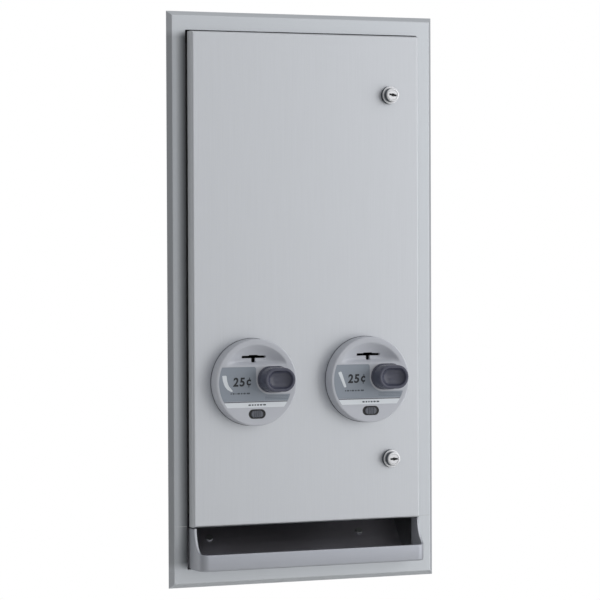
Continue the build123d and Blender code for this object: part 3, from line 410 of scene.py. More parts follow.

# %% [markdown]
# The strip of the flange beside the hinge is painted darker, most of all at the door's edge:
# it is a painted shadow of the door, which stands proud of the flange.


# %% Paint the door's shadow on the flange beside the hinge
def paint_door_shadow(material, edge, width, half_height, fade, shadow_at_width, shadow_at_edge):
    """Painted shadow: scales the colour left of an upright edge, lightly at this width from it and
    most at it.
    """
    tree = material.node_tree
    shader = tree.nodes["Principled BSDF"]
    colour = shader.inputs["Base Color"].links[0].from_socket
    point = add_node(tree, "ShaderNodeTexCoord").outputs["Object"]
    place = add_node(tree, "ShaderNodeSeparateXYZ", {"Vector": point})
    near = add_node(tree, "ShaderNodeMapRange", {
        "Value": place.outputs["X"], "From Min": edge - width, "From Max": edge,
        "To Min": shadow_at_width, "To Max": shadow_at_edge,
    }).outputs["Result"]
    height = add_node(
        tree, "ShaderNodeMath", {0: place.outputs["Z"]}, operation="ABSOLUTE"
    ).outputs[0]
    level = add_node(tree, "ShaderNodeMapRange", {
        "Value": height, "From Min": half_height - fade, "From Max": half_height,
        "To Min": 1.0, "To Max": 0.0,
    }).outputs["Result"]
    left_half = add_node(
        tree, "ShaderNodeMath", {0: place.outputs["X"], 1: 0}, operation="LESS_THAN"
    ).outputs[0]
    shown = add_node(
        tree, "ShaderNodeMath", {0: level, 1: left_half}, operation="MULTIPLY"
    ).outputs[0]
    scale = add_node(tree, "ShaderNodeMix", {
        "Factor": shown, "A": 1.0, "B": near,
    }).outputs["Result"]
    tree.links.new(add_node(tree, "ShaderNodeVectorMath", {
        0: colour, "Scale": scale,
    }, operation="SCALE").outputs[0], shader.inputs["Base Color"])


half_opening = 174.6 * mm
half_opening_height = 368.1 * mm
# Painted shadow of the door on the left strip of the flange.
paint_door_shadow(
    flange_steel, -half_opening, width=14 * mm, half_height=half_opening_height, fade=10 * mm,
    shadow_at_width=0.74, shadow_at_edge=0.20,
)
print("darkened left of", -half_opening)


# %% [markdown]
# ## Moulded plastics
# The discs, knobs and buttons are injection moulded ABS. The mould was spark eroded, which
# gives the plastic an even, fine-grained surface that dulls its gloss. The labels are
# polyester film, which is smoother, so its grain is fainter.


# %% Plastic with the fine grit of its mould
shade_mm = 30
gloss_spread = 0.06
grit_height_mm = 0.1


def moulded_plastic(name, colour, roughness, grit_mm=0.6, depth=0.12, spread=0.03):
    """Moulded plastic: a fine noise moves bump and gloss, and a broad one the shade."""
    material, tree, shader = new_material(name, {"IOR": 1.5})
    point = add_node(tree, "ShaderNodeTexCoord").outputs["Object"]
    grit = add_node(tree, "ShaderNodeTexNoise", {
        "Vector": point, "Scale": 1 / (grit_mm * mm), "Detail": 2.0,
    }).outputs["Fac"]
    broad = add_node(tree, "ShaderNodeTexNoise", {
        "Vector": point, "Scale": 1 / (shade_mm * mm), "Detail": 2.0,
    }).outputs["Fac"]
    vary_colour(tree, shader, colour, broad, spread)
    vary_surface(tree, shader, grit, roughness, gloss_spread, depth, grit_height_mm)
    return material


finishes["disc_moulding"] = moulded_plastic("moulded ABS, lilac grey", "#BCBFC7", 0.42)
finishes["knob_plastic"] = moulded_plastic("moulded ABS, dark violet grey", "#484A59", 0.22)
finishes["button_plastic"] = moulded_plastic("moulded ABS, mid grey", "#5C5F68", 0.38)
finishes["label_film"] = moulded_plastic(
    "printed polyester film, slate", "#8C949F", 0.38, depth=0.04
)
finishes["mech_plastic"] = moulded_plastic("moulded ABS, black", "#17181B", 0.5)
finishes["rotor_plastic"] = moulded_plastic("ABS, pale grey", "#C9CACA", 0.48)
print("plastics:", [key for key in finishes if "plastic" in key or "mould" in key])


# %% [markdown]
# ## Small metal parts
# Locks are chrome plated, which is pale and bright. Brackets and screws are zinc plated, a
# duller grey with broad patches. Springs are drawn steel, smooth and darker, the followers'
# weights are cast iron, rough and nearly black with oil, and the coin wheels are yellow brass.


# %% Plated, cast and drawn metal
patch_height_mm = 0.2


def small_metal(name, colour, roughness, patch_mm=2.0, spread=0.06, depth=0.03):
    """Metal with soft patches in its gloss, as handling and plating leave them."""
    material, tree, shader = new_material(name, {"Metallic": 1.0, "Base Color": linear(colour)})
    point = add_node(tree, "ShaderNodeTexCoord").outputs["Object"]
    patches = add_node(tree, "ShaderNodeTexNoise", {
        "Vector": point, "Scale": 1 / (patch_mm * mm), "Detail": 4.0,
    }).outputs["Fac"]
    vary_surface(tree, shader, patches, roughness, spread, depth, patch_height_mm)
    return material


finishes["lock_chrome"] = small_metal("chrome plate, satin", "#DCDDE0", 0.42, spread=0.05)
finishes["zinc_steel"] = small_metal("zinc plated steel", "#B5B8BA", 0.38, patch_mm=6)
finishes["spring_steel"] = small_metal("drawn spring steel", "#8C8E92", 0.30)
finishes["weight_iron"] = small_metal("cast iron, oiled", "#4A4B4D", 0.55, patch_mm=3, depth=0.3)
finishes["coin_brass"] = small_metal("brass", "#C9A85C", 0.30)
print("metals:", [finish.name for finish in finishes.values()][-5:])

# %% Give each CAD node the finish of its material slot
slot_of = {part["node"]: part["material_slot"] for part in frame["record"]["subparts"]}
for node_name, node in frame["nodes"].items():
    finish = flange_steel if node_name == "wall_flange" else finishes[slot_of[node_name]]
    for holder in node.material_slots:
        holder.material = finish
print("finished nodes:", len(slot_of))

# %% [markdown]
# ## Shapes that face the viewer
# The discs, knobs, buttons and locks all face the front. Each is drawn flat in millimetres, in
# X and Y with Z towards the viewer, and turned and put in its place at the end. Most are
# oblongs or circles raised in steps, so one function makes the oblong, another raises it.


# %% Drawing a shape and raising it
def add_oblong(shape, width, height, at=(0, 0, 0), segments=64):
    """An oblong face, in millimetres: a circle whose two halves are moved apart."""
    ring = bmesh.ops.create_circle(
        shape, cap_ends=True, radius=height / 2, segments=segments
    )["verts"]
    half_step = Matrix.Rotation(math.pi / segments, 3, "Z")
    bmesh.ops.rotate(shape, verts=ring, cent=(0, 0, 0), matrix=half_step)
    for side in (-1, 1):
        half = [vert for vert in ring if vert.co.x * side > 0]
        bmesh.ops.translate(shape, verts=half, vec=(side * (width - height) / 2, 0, 0))
    bmesh.ops.translate(shape, verts=ring, vec=at)
    return ring[0].link_faces[0]


def raise_steps(shape, face, steps):
    """Insets a face and moves it outwards, once for each (inset, rise) in millimetres."""
    for inwards, upwards in steps:
        shape.normal_update()
        bmesh.ops.inset_region(
            shape, faces=[face], thickness=inwards, depth=upwards,
            use_even_offset=True, use_boundary=True,
        )
    return face


def quarter_turns(steps):
    """The angles from 0 to a quarter turn, in this many equal steps."""
    return [math.pi / 2 * step / steps for step in range(steps + 1)]


def rounded_edge(radius, steps):
    """The (inset, rise) steps of a quarter round, from a straight wall to a flat top."""
    turns = quarter_turns(steps)
    return [
        (radius * (math.cos(a) - math.cos(b)), radius * (math.sin(b) - math.sin(a)))
        for a, b in zip(turns, turns[1:])
    ]


steps = [(round(inset, 2), round(rise, 2)) for inset, rise in rounded_edge(1.0, 3)]
print("a 1 mm quarter round in three steps:", steps)


# %% Placing a shape, finishing it as a piece, and cutting one out of another
def facing(place):
    """Turns a drawing in millimetres to face the front, with its origin at a place in metres."""
    turn = Matrix.Rotation(math.pi / 2, 4, "X")
    return Matrix.Translation(place) @ turn @ Matrix.Scale(mm, 4)


def finish_piece(shape, name, finish, body, replaced=(), sharp=32):
    """Cleans a bmesh, makes it an object that rides on its body, and shades it by angle."""
    bmesh.ops.remove_doubles(shape, verts=shape.verts, dist=0.002 * mm)
    bmesh.ops.recalc_face_normals(shape, faces=shape.faces)
    for face in shape.faces:
        face.smooth = True
    for edge in shape.edges:
        edge.smooth = edge.calc_face_angle(0) < math.radians(sharp)
    piece = add_shape(name, shape)
    piece.data.materials.append(finish)
    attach(piece, body)
    if replaced:
        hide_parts(*replaced)
    print(name, len(piece.data.polygons), "faces")
    return piece


def carve(shape, *cutters):
    """Cuts closed bmeshes out of another one with an exact Boolean, and gives the result."""
    blocks = []
    for block in (shape, *cutters):
        bmesh.ops.recalc_face_normals(block, faces=block.faces)
        blocks.append(add_shape("block", block))
    for cutter in blocks[1:]:
        cut = blocks[0].modifiers.new("cut", "BOOLEAN")
        cut.operation = "DIFFERENCE"
        cut.object = cutter
        cut.solver = "EXACT"
    seen = bpy.context.evaluated_depsgraph_get()
    carved = bmesh.new()
    carved.from_mesh(blocks[0].evaluated_get(seen).to_mesh())
    for block in blocks:
        bpy.data.meshes.remove(block.data)
    return carved


# %% [markdown]
# ## The coin discs
# Each disc is one moulding: a plate with a rounded edge, a scoop for the fingertips above and
# a sunk label. Its section is spun round, then the scoop is pressed into the fine mesh of its
# face, and the coin slot, the button's well and the label's bed are cut with Booleans.

# %% Where the discs are, and the sizes that their parts share
sides = ("left", "right")
disc_place, disc_radius, disc_depth = {}, {}, {}
for side in sides:
    low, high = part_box(f"coin_bezel_{side}")
    disc_place[side] = Vector(((low.x + high.x) / 2, low.y, (low.z + high.z) / 2))
    disc_radius[side] = (high.z - low.z) / 2 / mm
    disc_depth[side] = (high.y - low.y) / mm
cutter_wide = disc_radius["left"]
knob_centre = (24.5, 4.0)
button_centre = (0, -43.0)
collar_size = (52.0, 41.0)
collar_left = knob_centre[0] - collar_size[0] / 2
collar_bottom = knob_centre[1] - collar_size[1] / 2
print("discs at", {side: [round(v, 4) for v in disc_place[side]] for side in sides})


# %% The disc's spun section, with the scoop pressed into its face
def soft_step(value):
    """0 below 0, 1 above 1, and a smooth S between them."""
    value = min(max(value, 0), 1)
    return value * value * (3 - 2 * value)


def spin_disc(radius, depth, shoulder=2.2, rings=56, segments=144):
    """The disc as a solid of revolution round Z, its face at 0 and its back at -depth."""
    shape = bmesh.new()
    middle = shape.verts.new((0, 0, 0))
    edge = shape.verts.new((radius - shoulder, 0, 0))
    run = shape.edges.new((middle, edge))
    bmesh.ops.subdivide_edges(shape, edges=[run], cuts=rings)
    edge = max(shape.verts, key=lambda vert: vert.co.x)
    arc = bmesh.ops.spin(
        shape, geom=[edge], axis=(0, 1, 0), cent=(radius - shoulder, 0, -shoulder),
        angle=math.pi / 2, steps=10,
    )["geom_last"][0]
    foot = shape.verts.new((radius, 0, -depth))
    back = shape.verts.new((0, 0, -depth))
    shape.edges.new((arc, foot))
    shape.edges.new((foot, back))
    bmesh.ops.spin(
        shape, geom=shape.verts[:] + shape.edges[:], axis=(0, 0, 1), cent=(0, 0, 0),
        angle=2 * math.pi, steps=segments, use_merge=True,
    )
    bmesh.ops.remove_doubles(shape, verts=shape.verts, dist=0.01)
    bmesh.ops.dissolve_degenerate(shape, edges=shape.edges, dist=0.001)
    return shape


scoop_depth = 9.0
scoop_foot = 22.0
scoop_slope = 7.5
scoop_rim = 51.5
scoop_wall = 20.0
face_points_above = -1.0


def press_scoop(shape):
    """Moves the face's points back where the scoop is: above its foot and inside its rim."""
    for vert in shape.verts:
        if vert.co.z > face_points_above:
            reach = math.hypot(vert.co.x, vert.co.y)
            rise = soft_step((vert.co.y - scoop_foot) / scoop_slope)
            bowl = math.sin(math.pi / 2 * min(max((scoop_rim - reach) / scoop_wall, 0), 1))
            vert.co.z -= scoop_depth * rise * bowl


print("scoop", scoop_depth, "mm deep, from", scoop_foot, "mm above the middle")

# %% Closed blocks that cut the coin slot, the button's well and the hollow back
def add_block(shape, width, height, low, high, at=(0, 0), corner=0.0):
    """A box of this width and height round a point, from low to high along Z."""
    corners = bmesh.ops.create_cube(shape, size=1)["verts"]
    bmesh.ops.scale(shape, verts=corners, vec=(width, height, high - low))
    bmesh.ops.translate(shape, verts=corners, vec=(at[0], at[1], (low + high) / 2))
    if corner:
        upright = {
            edge for vert in corners for edge in vert.link_edges
            if abs(edge.verts[0].co.z - edge.verts[1].co.z) > (high - low) / 2
        }
        bmesh.ops.bevel(
            shape, geom=list(upright), offset=corner, segments=10,
            affect="EDGES", profile=0.5, material=-1,
        )


def raise_block(shape, low, high):
    """Makes flat faces drawn at 0 a closed block from low to high along Z."""
    grown = bmesh.ops.extrude_face_region(shape, geom=shape.faces[:])["geom"]
    raised = [item for item in grown if isinstance(item, bmesh.types.BMVert)]
    bmesh.ops.translate(shape, verts=raised, vec=(0, 0, high - low))
    bmesh.ops.translate(shape, verts=shape.verts, vec=(0, 0, low))


def oblong_block(width, height, low, high, at=(0, 0), segments=64):
    """A closed oblong bar from low to high along Z."""
    shape = bmesh.new()
    add_oblong(shape, width, height, (at[0], at[1], 0), segments)
    raise_block(shape, low, high)
    return shape


slot_centre = {"left": (-1.8, 34.8), "right": (-0.2, 34.8)}
slot_size = (35.4, 3.4)
slot_hump = (14.0, 0.9)
slot_leg = (6.0, 7.6)
pocket_size = (56.0, 104.0)
pocket_shift = 8.0
pocket_corner = 20.0
pocket_top = -13.0
shaft_hole = 10.6
well_size = (25.2, 13.0)
well_depth = 2.5
button_hole = (17.6, 9.8)


def disc_cutters(depth, at):
    """The slot's bar with a hump and a leg, the well, two holes and the pocket behind.

    Each stands out past the surface that it opens, so the Boolean leaves no thin skin.
    """
    blocks = []
    for width, height, shift in (
        (slot_size[0], slot_size[1], 0),
        (slot_hump[0], slot_size[1], slot_hump[1]),
        (slot_leg[0], slot_leg[1], -slot_leg[1] / 2),
    ):
        block = bmesh.new()
        add_block(block, width, height, -depth, 5, (at[0], at[1] + shift))
        blocks.append(block)
    pocket = bmesh.new()
    add_block(pocket, *pocket_size, -depth - 1, pocket_top, (pocket_shift, 0), pocket_corner)
    return blocks + [
        pocket,
        oblong_block(*well_size, -well_depth, 3, button_centre),
        oblong_block(*button_hole, -depth, 0, button_centre),
        oblong_block(shaft_hole, shaft_hole, -depth, 3, knob_centre),
    ]


print("coin slot", slot_size, "mm, button's well", well_size, "mm")

# %% The label's outline, shared by its bed and its film
label_radius = 53.8
label_shift = -1.9
label_top = 21.5
label_bottom = -25.5
label_corner = 3.5


def band_face(radius, bottom, top):
    """A flat face: the part of a circle between two level lines."""
    shape = bmesh.new()
    bmesh.ops.create_circle(shape, cap_ends=True, radius=radius, segments=128)
    bmesh.ops.translate(shape, verts=shape.verts, vec=(label_shift, 0, 0))
    for line, side in ((top, 1), (bottom, -1)):
        bmesh.ops.bisect_plane(
            shape, geom=shape.verts[:] + shape.edges[:] + shape.faces[:],
            plane_co=(0, line, 0), plane_no=(0, side, 0), clear_outer=True,
        )
    return shape


def label_block(low, high, grow=0.0):
    """The label as a block: the disc's curve between two lines, cut away round the knob."""
    shape = band_face(label_radius + grow, label_bottom - grow, label_top + grow)
    raise_block(shape, low, high)
    shrunk = [size - 2 * grow for size in collar_size]
    collar = oblong_block(*shrunk, low - 1, high + 1, knob_centre, 96)
    above, beside = bmesh.new(), bmesh.new()
    left, half = collar_left + grow, cutter_wide / 2
    for block, corner in (
        (above, (left, knob_centre[1])), (beside, (knob_centre[0], collar_bottom + grow)),
    ):
        middle = (corner[0] + half, corner[1] + half)
        add_block(block, cutter_wide, cutter_wide, low - 1, high + 1, middle)
    label = carve(shape, collar, above, beside)
    corner = [
        edge for edge in label.edges
        if all(math.hypot(v.co.x - left, v.co.y - label_top - grow) < 0.1 for v in edge.verts)
    ]
    bmesh.ops.bevel(
        label, geom=corner, offset=label_corner, segments=6,
        affect="EDGES", profile=0.5, material=-1,
    )
    return label


print("label", label_top - label_bottom, "mm high")

# %% Make the two discs
bed_depth = 0.6
bed_gap = 0.15
film_top = -0.1
for side in sides:
    disc = spin_disc(disc_radius[side], disc_depth[side])
    press_scoop(disc)
    cutters = disc_cutters(disc_depth[side], slot_centre[side])
    disc = carve(disc, *cutters, label_block(-bed_depth, 2, bed_gap))
    disc.transform(facing(disc_place[side]))
    finish_piece(
        disc, f"coin_disc_{side}", finishes["disc_moulding"], "door",
        [f"coin_bezel_{side}"], sharp=28,
    )

# %% [markdown]
# A thin dark ring, drawn as a gasket between the disc and the door, shows as a dark line round the
# disc: a painted contact shadow.
# The label is a printed film. It lies just below the disc's face, where fingers don't catch
# its edge.

# %% A thin dark ring between each disc and the door: a gasket that draws a painted shadow
gasket_wide = 120.2
gasket_hole = 104.0
gasket_thickness = 1.0
for side in sides:
    depth = disc_depth[side]
    ring = oblong_block(
        gasket_wide, gasket_wide, -depth, gasket_thickness - depth, segments=144
    )
    hole = oblong_block(gasket_hole, gasket_hole, -depth - 1, 2 - depth, segments=96)
    gasket = carve(ring, hole)
    gasket.transform(facing(disc_place[side]))
    finish_piece(
        gasket, f"disc_gasket_shadow_{side}", finishes["button_plastic"], "door"
    )

# %% The label film in its bed
for side in sides:
    film = label_block(-bed_depth, film_top)
    film.transform(facing(disc_place[side]))
    finish_piece(
        film, f"label_film_{side}", finishes["label_film"], "door",
        [f"price_label_{side}"],
    )

# %% [markdown]
# ## What is printed on the discs
# Ink is a layer too thin to see from its side, so each colour is a flat face raised a twelfth
# of a millimetre. The price is in plain numerals. The lines of small print are only rows of
# dashes, because the machine has no maker's words on it.


# %% Inks
def printed_ink(name, colour):
    """Screen ink on film: half dull, a little uneven where it was thin."""
    return moulded_plastic(name, colour, 0.5, grit_mm=0.4, depth=0.05, spread=0.06)


ink_dark = printed_ink("screen ink, blue black", "#1B1F25")
ink_grey = printed_ink("screen ink, slate", "#474D55")
ink_pale = printed_ink("screen ink, silver", "#DBE0E6")
ink_thickness = 0.08
on_film = (film_top, film_top + ink_thickness)
on_disc = (0.0, ink_thickness)
on_strip = (ink_thickness, 2 * ink_thickness)


def lay_ink(shape, name, side, ink, layer):
    """Gives flat faces the thickness of a layer of ink, and puts them on a side's disc."""
    raise_block(shape, *layer)
    shape.transform(facing(disc_place[side]))
    finish_piece(shape, f"{name}_{side}", ink, "door")


print("inks:", [ink.name for ink in (ink_dark, ink_grey, ink_pale)])

# %% The price in plain numerals
numeral_lean = 0.10
numeral_weight = 0.034


def add_numeral(shape, text, left, right, bottom, top):
    """A character's outline as a flat face that fills a box, in millimetres."""
    outline = bpy.data.curves.new("numeral", "FONT")
    outline.body = text
    outline.shear = numeral_lean
    outline.offset = numeral_weight
    writing = add_object("numeral", outline)
    seen = bpy.context.evaluated_depsgraph_get()
    flat = bpy.data.meshes.new_from_object(writing.evaluated_get(seen))
    bpy.data.curves.remove(outline)
    letter = bmesh.new()
    letter.from_mesh(flat)
    across = [vert.co.x for vert in letter.verts]
    upwards = [vert.co.y for vert in letter.verts]
    scale = Vector((
        (right - left) / (max(across) - min(across)),
        (top - bottom) / (max(upwards) - min(upwards)), 1,
    ))
    shift = Vector((left - min(across) * scale.x, bottom - min(upwards) * scale.y, 0))
    bmesh.ops.scale(letter, verts=letter.verts, vec=scale)
    bmesh.ops.translate(letter, verts=letter.verts, vec=shift)
    letter.to_mesh(flat)
    letter.free()
    shape.from_mesh(flat)


# Each character with its left and right, then its bottom and top above the price's foot.
characters = (
    ("2", -35.5, -27.4, 0.0, 12.4), ("5", -26.0, -18.0, 0.0, 12.2), ("c", -15.6, -8.8, 1.2, 9.6),
)
cent_ticks = (0.0, 10.8)
tick_size = (1.1, 3.0)
tick_x = -12.0
price_low = {"left": -5.0, "right": -4.2}
price_shift = {"left": 0.0, "right": 0.6}
for side in sides:
    price = bmesh.new()
    low, shift = price_low[side], price_shift[side]
    for character, left, right, bottom, top in characters:
        add_numeral(price, character, left + shift, right + shift, low + bottom, low + top)
    for tick in cent_ticks:
        place = (tick_x + shift + numeral_lean * tick, low + tick, 0)
        add_oblong(price, *tick_size, place, segments=16)
    bmesh.ops.remove_doubles(price, verts=price.verts, dist=0.005)
    lay_ink(price, "price_numerals", side, ink_dark, on_film)

# %% [markdown]
# ## Small print, rules and pictograms
# The pictogram at the left stands for a folded pad, and the one at the right for a slim tube.
# A few corner points make each outline, and bevelling its corners gives the soft shape.


# %% Dashes, thin rules, and the two pictograms
def add_dashes(shape, spans, middle, height):
    """Short rounded bars in a row, each from one place to another."""
    for left, right in spans:
        add_oblong(shape, right - left, height, ((left + right) / 2, middle, 0), segments=16)


def add_outline(shape, corners, soft):
    """A flat face through a few corner points, with its corners rounded."""
    face = shape.faces.new([shape.verts.new((x, y, 0)) for x, y in corners])
    bmesh.ops.bevel(
        shape, geom=face.verts[:], offset=soft, segments=5, affect="VERTICES",
        profile=0.5, material=-1,
    )


small_print = [
    (-39.2, -37.2), (-36.2, -33.0), (-32.0, -30.4), (-29.4, -25.2), (-24.2, -21.4),
    (-20.4, -16.8), (-15.6, -10.4),
]
small_print_line = (-14.6, 2.2)
strip_print = [(-13.0, -9.2), (-8.2, -5.2), (-4.2, -1.6), (-0.4, 2.8), (3.8, 7.6), (8.6, 13.0)]
strip_print_line = (-30.6, 2.0)
rule_heights = (-18.9, -20.8, -22.7)
rule_span = (12.0, 46.0)
rule_width = 0.35
pictograms = {
    "left": (
        [(-51.4, 10.2), (-44.8, 10.4), (-44.2, 3.6), (-42.0, -3.4), (-35.4, -11.2),
         (-37.6, -12.2), (-43.6, -9.0), (-47.6, -4.4), (-50.2, 3.0)], 1.4,
    ),
    "right": ([(-49.6, 11.0), (-44.6, 12.4), (-36.9, -9.4), (-40.2, -10.2)], 1.5),
}
for side in sides:
    words = bmesh.new()
    add_dashes(words, small_print, *small_print_line)
    lay_ink(words, "small_print", side, ink_grey, on_film)
    rules = bmesh.new()
    add_dashes(rules, [rule_span] * len(rule_heights), 0, rule_width)
    for face, height in zip(rules.faces[:], rule_heights):
        bmesh.ops.translate(rules, verts=face.verts[:], vec=(0, height, 0))
    lay_ink(rules, "label_rules", side, ink_grey, on_film)
    sign = bmesh.new()
    add_outline(sign, *pictograms[side])
    lay_ink(sign, "product_sign", side, ink_pale, on_film)

# %% The pale strip below the label, with a painted shadow line above it and a line of dashes
strip_band = (-34.0, -27.2)
label_edge_shadow = (-26.9, -26.0)
for side in sides:
    lay_ink(band_face(label_radius, *strip_band), "instruction_strip", side, ink_pale, on_disc)
    # Painted shadow: a dark band where the label's bottom edge meets the disc.
    lay_ink(band_face(label_radius, *label_edge_shadow), "label_edge_shadow", side, ink_grey, on_disc)
    dashes = bmesh.new()
    add_dashes(dashes, strip_print, *strip_print_line)
    lay_ink(dashes, "strip_print", side, ink_grey, on_strip)

# %% [markdown]
# ## Coin return buttons
# The button is a ribbed oblong in a dark well. A black lining is laid in the well round the
# button, so the button stands out against it.

# %% The well's black lining
lining_size = (25.0, 12.8)
lining_top = -0.5
for side in sides:
    hole = oblong_block(*button_hole, -well_depth - 1, 3, button_centre)
    lining = carve(oblong_block(*lining_size, -well_depth, lining_top, button_centre), hole)
    lining.transform(facing(disc_place[side]))
    finish_piece(lining, f"button_lining_{side}", finishes["mech_plastic"], "door")

# %% [markdown]
# ## Knobs
# A knob is an oblong bar that leans in a little towards its front, with a skirt at its foot
# and a deep dish in its end for the thumb. It is one oblong raised in steps. The dish leans
# to the right, so its left wall slopes gently and its right wall is steep.

# %% The knobs, with a skirt, a rounded rim and a dish
knob_skirt = [(0.01, 3.0)] + rounded_edge(0.7, 3) + [(0.4, 0.0)]
knob_wall = [(0.1, 4.4), (0.15, 4.9), (0.2, 5.4), (0.2, 4.8)]
knob_rim = rounded_edge(1.2, 5) + [(1.6, 0.02), (0.3, -0.06)]
knob_dish = [
    (0.5, -0.2), (0.4, -0.4), (0.3, -1.2), (0.6, -1.3), (1.0, -1.2), (1.3, -1.1),
    (1.5, -0.9), (1.7, -0.6), (1.9, -0.3), (1.9, -0.1),
]
knob_foot = (48.0, 36.0)
dish_lean = 0.22
for side in sides:
    low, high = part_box(f"knob_{side}")
    place = Vector(((low.x + high.x) / 2, high.y, (low.z + high.z) / 2))
    knob = bmesh.new()
    foot = add_oblong(knob, *knob_foot, segments=96)
    face = raise_steps(knob, foot, knob_skirt + knob_wall + knob_rim)
    outer_points = set(knob.verts)
    rim_height = face.calc_center_median().z
    raise_steps(knob, face, knob_dish)
    for vert in knob.verts:
        if vert not in outer_points:
            vert.co.x += dish_lean * (rim_height - vert.co.z)
    bmesh.ops.holes_fill(knob, edges=knob.edges)
    knob.transform(facing(place))
    finish_piece(
        knob, f"turn_knob_{side}", finishes["knob_plastic"], f"knob_{side}",
        [f"knob_{side}"], sharp=40,
    )

# %% [markdown]
# ## Locks
# A cam lock is turned brass with chrome on it, so each part is a section spun round its axis.
# The collar's and the head's upright sides are given a dark chrome, a painted dark reflection,
# which is the pair of dark crescents that the photograph shows round the bright face.


# %% Spin a section given as radii and heights
def spin_section(points, segments=72):
    """A solid of revolution round Z, from a closed run of (radius, height) in millimetres."""
    shape = bmesh.new()
    ring = [shape.verts.new((radius, 0, height)) for radius, height in points]
    for start, end in zip(ring, ring[1:]):
        shape.edges.new((start, end))
    if points[0][0] > 0:
        shape.edges.new((ring[-1], ring[0]))
    bmesh.ops.spin(
        shape, geom=shape.verts[:] + shape.edges[:], axis=(0, 0, 1), cent=(0, 0, 0),
        angle=2 * math.pi, steps=segments, use_merge=True,
    )
    bmesh.ops.remove_doubles(shape, verts=shape.verts, dist=0.005)
    return shape


def quarter_points(radius, height, bend):
    """Points of a rounded outer corner of this bend, between a radius and a height."""
    return [
        (radius - bend + bend * math.cos(turn), height - bend + bend * math.sin(turn))
        for turn in quarter_turns(4)
    ]


finishes["knurled_chrome"] = small_metal("chrome, painted dark reflection", "#5F646B", 0.40)
print("sides with painted dark reflection:", finishes["knurled_chrome"].name)

# %% The two locks: a shell on the door, and a core with its key way that turns
lock_ring = (12.4, 5.5, 0.8)
lock_head = (9.9, 13.4, 1.9)
lock_barrel = (9.5, -24.0)
plug_bore = 7.05
plug_radius = 7.0
plug_front = 13.0
plug_chamfer = 0.4
plug_back = -24.3
plug_tail = (4.0, -27.5)
door_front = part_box("door_panel")[0].y
key_slot_turn = {"upper": math.radians(-8.5), "lower": 0.0}
key_slot = (11.4, 2.7)
key_notch = 4.2
key_depth = 6.0
slot_shade_gap = 0.1
slot_shade_depths = (5, 3)
dark_reflection_slope = 0.3
for level in ("upper", "lower"):
    low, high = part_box(f"lock_body_{level}")
    place = Vector(((low.x + high.x) / 2, door_front, (low.z + high.z) / 2))
    shell = spin_section(
        [(plug_bore, lock_barrel[1]), lock_barrel, (lock_barrel[0], 0), (lock_ring[0], 0)]
        + quarter_points(*lock_ring) + [(lock_head[0], lock_ring[1])]
        + quarter_points(*lock_head) + [(plug_bore, lock_head[1])]
    )
    shell.transform(facing(place))
    lock_shell = finish_piece(
        shell, f"lock_shell_{level}", finishes["lock_chrome"], "door",
        [f"lock_body_{level}"],
    )
    # Painted reflection: the upright sides in front of the door take a dark chrome.
    lock_shell.data.materials.append(finishes["knurled_chrome"])
    for face in lock_shell.data.polygons:
        upright = abs(face.normal.y) < dark_reflection_slope
        face.material_index = int(upright and face.center.y < door_front)
    core = spin_section([
        (0, plug_front), (plug_radius - plug_chamfer, plug_front),
        (plug_radius, plug_front - plug_chamfer), (plug_radius, plug_back),
        (plug_tail[0], plug_back), plug_tail, (0, plug_tail[1]),
    ])
    slit, notch = bmesh.new(), bmesh.new()
    add_block(slit, *key_slot, plug_front - key_depth, plug_front + 2)
    add_block(notch, key_notch, key_notch, plug_front - key_depth, plug_front + 2, corner=1.0)
    core = carve(core, slit, notch)
    # Painted shade: a black block sits a few millimetres down the key slot, so that the slot looks
    # dark.
    slot_shade = bmesh.new()
    slot_shade_size = [size - slot_shade_gap for size in key_slot]
    add_block(slot_shade, *slot_shade_size, *(plug_front - depth for depth in slot_shade_depths))
    slot_turn = Matrix.Rotation(key_slot_turn[level], 4, "Z")
    for shape in (core, slot_shade):
        shape.transform(facing(place) @ slot_turn)
    finish_piece(
        core, f"lock_core_{level}", finishes["lock_chrome"], f"lock_{level}",
        [f"lock_plug_{level}"],
    )
    finish_piece(
        slot_shade, f"key_slot_shade_{level}", finishes["mech_plastic"], f"lock_{level}"
    )

# %% [markdown]
# ## The tray
# The tray is one folded sheet. Its front corners are bent to a generous radius, its cheeks'
# front edges sweep down to the lip, and the whole edge is folded inwards, which gives the
# rim; a painted highlight makes it brighter. It is drawn as rows of points along one path
# round the tray, seen from above.

# %% The path round the tray, and the height of its edge
tray_low, tray_high = (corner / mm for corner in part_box("tray_apron"))
door_y = door_front / mm
corner_bend = 13.0
foot_bend = 2.6
edge_bend = 1.2
fold_width = 3.2
fold_return = 1.6
tray_sheet = 1.2
lip_rise = 22.6
lip_z = tray_low.z + lip_rise


def edge_height(y):
    """The top of the tray's side at this depth: level, then swept down to the lip."""
    along = min(max((y - tray_low.y) / (door_y - tray_low.y), 0), 1)
    return tray_high.z - (tray_high.z - lip_z) * math.sqrt(1 - along * along)


# Each point of the path is a place, and the direction in which the edge is folded there.
bend_start = tray_low.y + corner_bend
depths = [tray_low.y + (door_y - tray_low.y) * math.cos(turn) for turn in quarter_turns(24)]
left_path = [((tray_low.x, y), (1, 0)) for y in [0.0] + [y for y in depths if y > bend_start]]
for turn in quarter_turns(12):
    x = tray_low.x + corner_bend * (1 - math.cos(turn))
    y = bend_start - corner_bend * math.sin(turn)
    left_path.append(((x, y), (math.cos(turn), math.sin(turn))))
middle_x = (tray_low.x + tray_high.x) / 2
right_path = [((2 * middle_x - x, y), (-inx, iny)) for (x, y), (inx, iny) in reversed(left_path)]
tray_path = left_path + right_path
print("tray path", len(tray_path), "points, lip at", round(lip_z, 1))

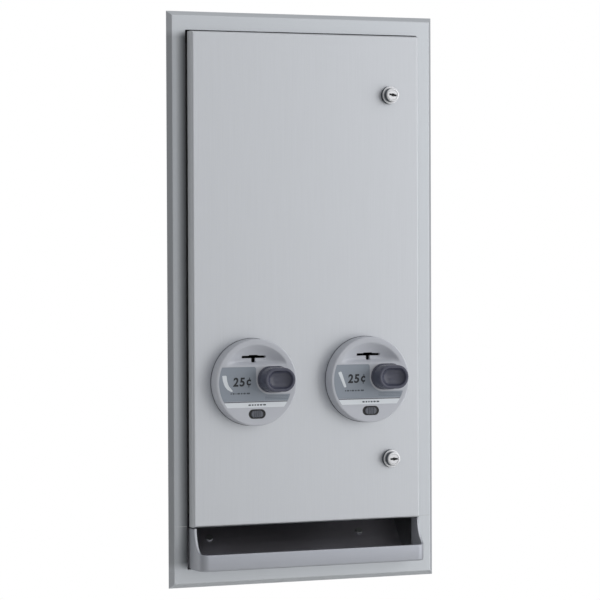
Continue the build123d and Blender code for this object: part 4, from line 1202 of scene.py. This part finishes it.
# %% The folded sheet, its bottom, and its thickness
# A column has one point for each row: the foot's bend, the edge's bend and the fold.
tray = bmesh.new()
bends = quarter_turns(4)
foot = [
    (foot_bend * (1 - math.sin(a)), tray_low.z + foot_bend * (1 - math.cos(a))) for a in bends
]
columns = []
for (x, y), (inx, iny) in tray_path:
    top = edge_height(y)
    edge = [(edge_bend * (1 - math.cos(a)), top - edge_bend * (1 - math.sin(a))) for a in bends]
    rows = foot + edge + [(fold_width, top), (fold_width, top - fold_return)]
    columns.append([
        tray.verts.new((x + inwards * inx, y + inwards * iny, z)) for inwards, z in rows
    ])
for here, there in zip(columns, columns[1:]):
    for low_a, high_a, low_b, high_b in zip(here, here[1:], there, there[1:]):
        tray.faces.new((low_a, low_b, high_b, high_a))
tongue = 16.0
back_row = [tray.verts.new((columns[i][0].co.x, tongue, tray_low.z)) for i in (-1, 0)]
tray.faces.new([column[0] for column in columns] + back_row)
bmesh.ops.recalc_face_normals(tray, faces=tray.faces)
bmesh.ops.solidify(tray, geom=tray.faces[:], thickness=tray_sheet)
tray.transform(Matrix.Scale(mm, 4))
print("tray box", [round(min(v.co[i] for v in tray.verts) / mm, 2) for i in range(3)],
      [round(max(v.co[i] for v in tray.verts) / mm, 2) for i in range(3)])
tray_piece = finish_piece(
    tray, "tray_sheet", finishes["tray_steel"], "cabinet", ["tray_apron"], sharp=40
)
# The fold that sweeps down the cheeks faces forwards, not sideways, and is above the lip.
sideways_most, forwards_least, above_lip = 0.25, 0.15, 1.5
# Painted highlight: the swept fold gets a lighter steel than the rest of the tray.
tray_piece.data.materials.append(finishes["folded_edge"])
for face in tray_piece.data.polygons:
    swept = abs(face.normal.x) < sideways_most and face.normal.y < -forwards_least
    face.material_index = int(swept and face.center.z > (lip_z + above_lip) * mm)

# %% [markdown]
# ## The flange's seams
# The bottom of the flange is a separate sheet. Its joints show as a fine bright line on each
# side, level with the door's bottom edge.

# %% Two fine lines where the flange's sheets meet
flange_low, flange_high = (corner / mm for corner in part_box("wall_flange"))
seam_from = 175.5
seam_to = flange_high.x - 6.5
seam_width = 0.6
seam_height = 0.08
seam_sunk = 0.02
seam_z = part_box("door_panel")[0].z / mm + 0.8
seams = bmesh.new()
for left, right in ((-seam_to, -seam_from), (seam_from, seam_to)):
    add_block(seams, right - left, seam_width, 0, seam_height, ((left + right) / 2, seam_z))
seams.transform(facing(Vector((0, (flange_low.y + seam_sunk) * mm, 0))))
finish_piece(seams, "flange_seams", finishes["zinc_steel"], "cabinet")
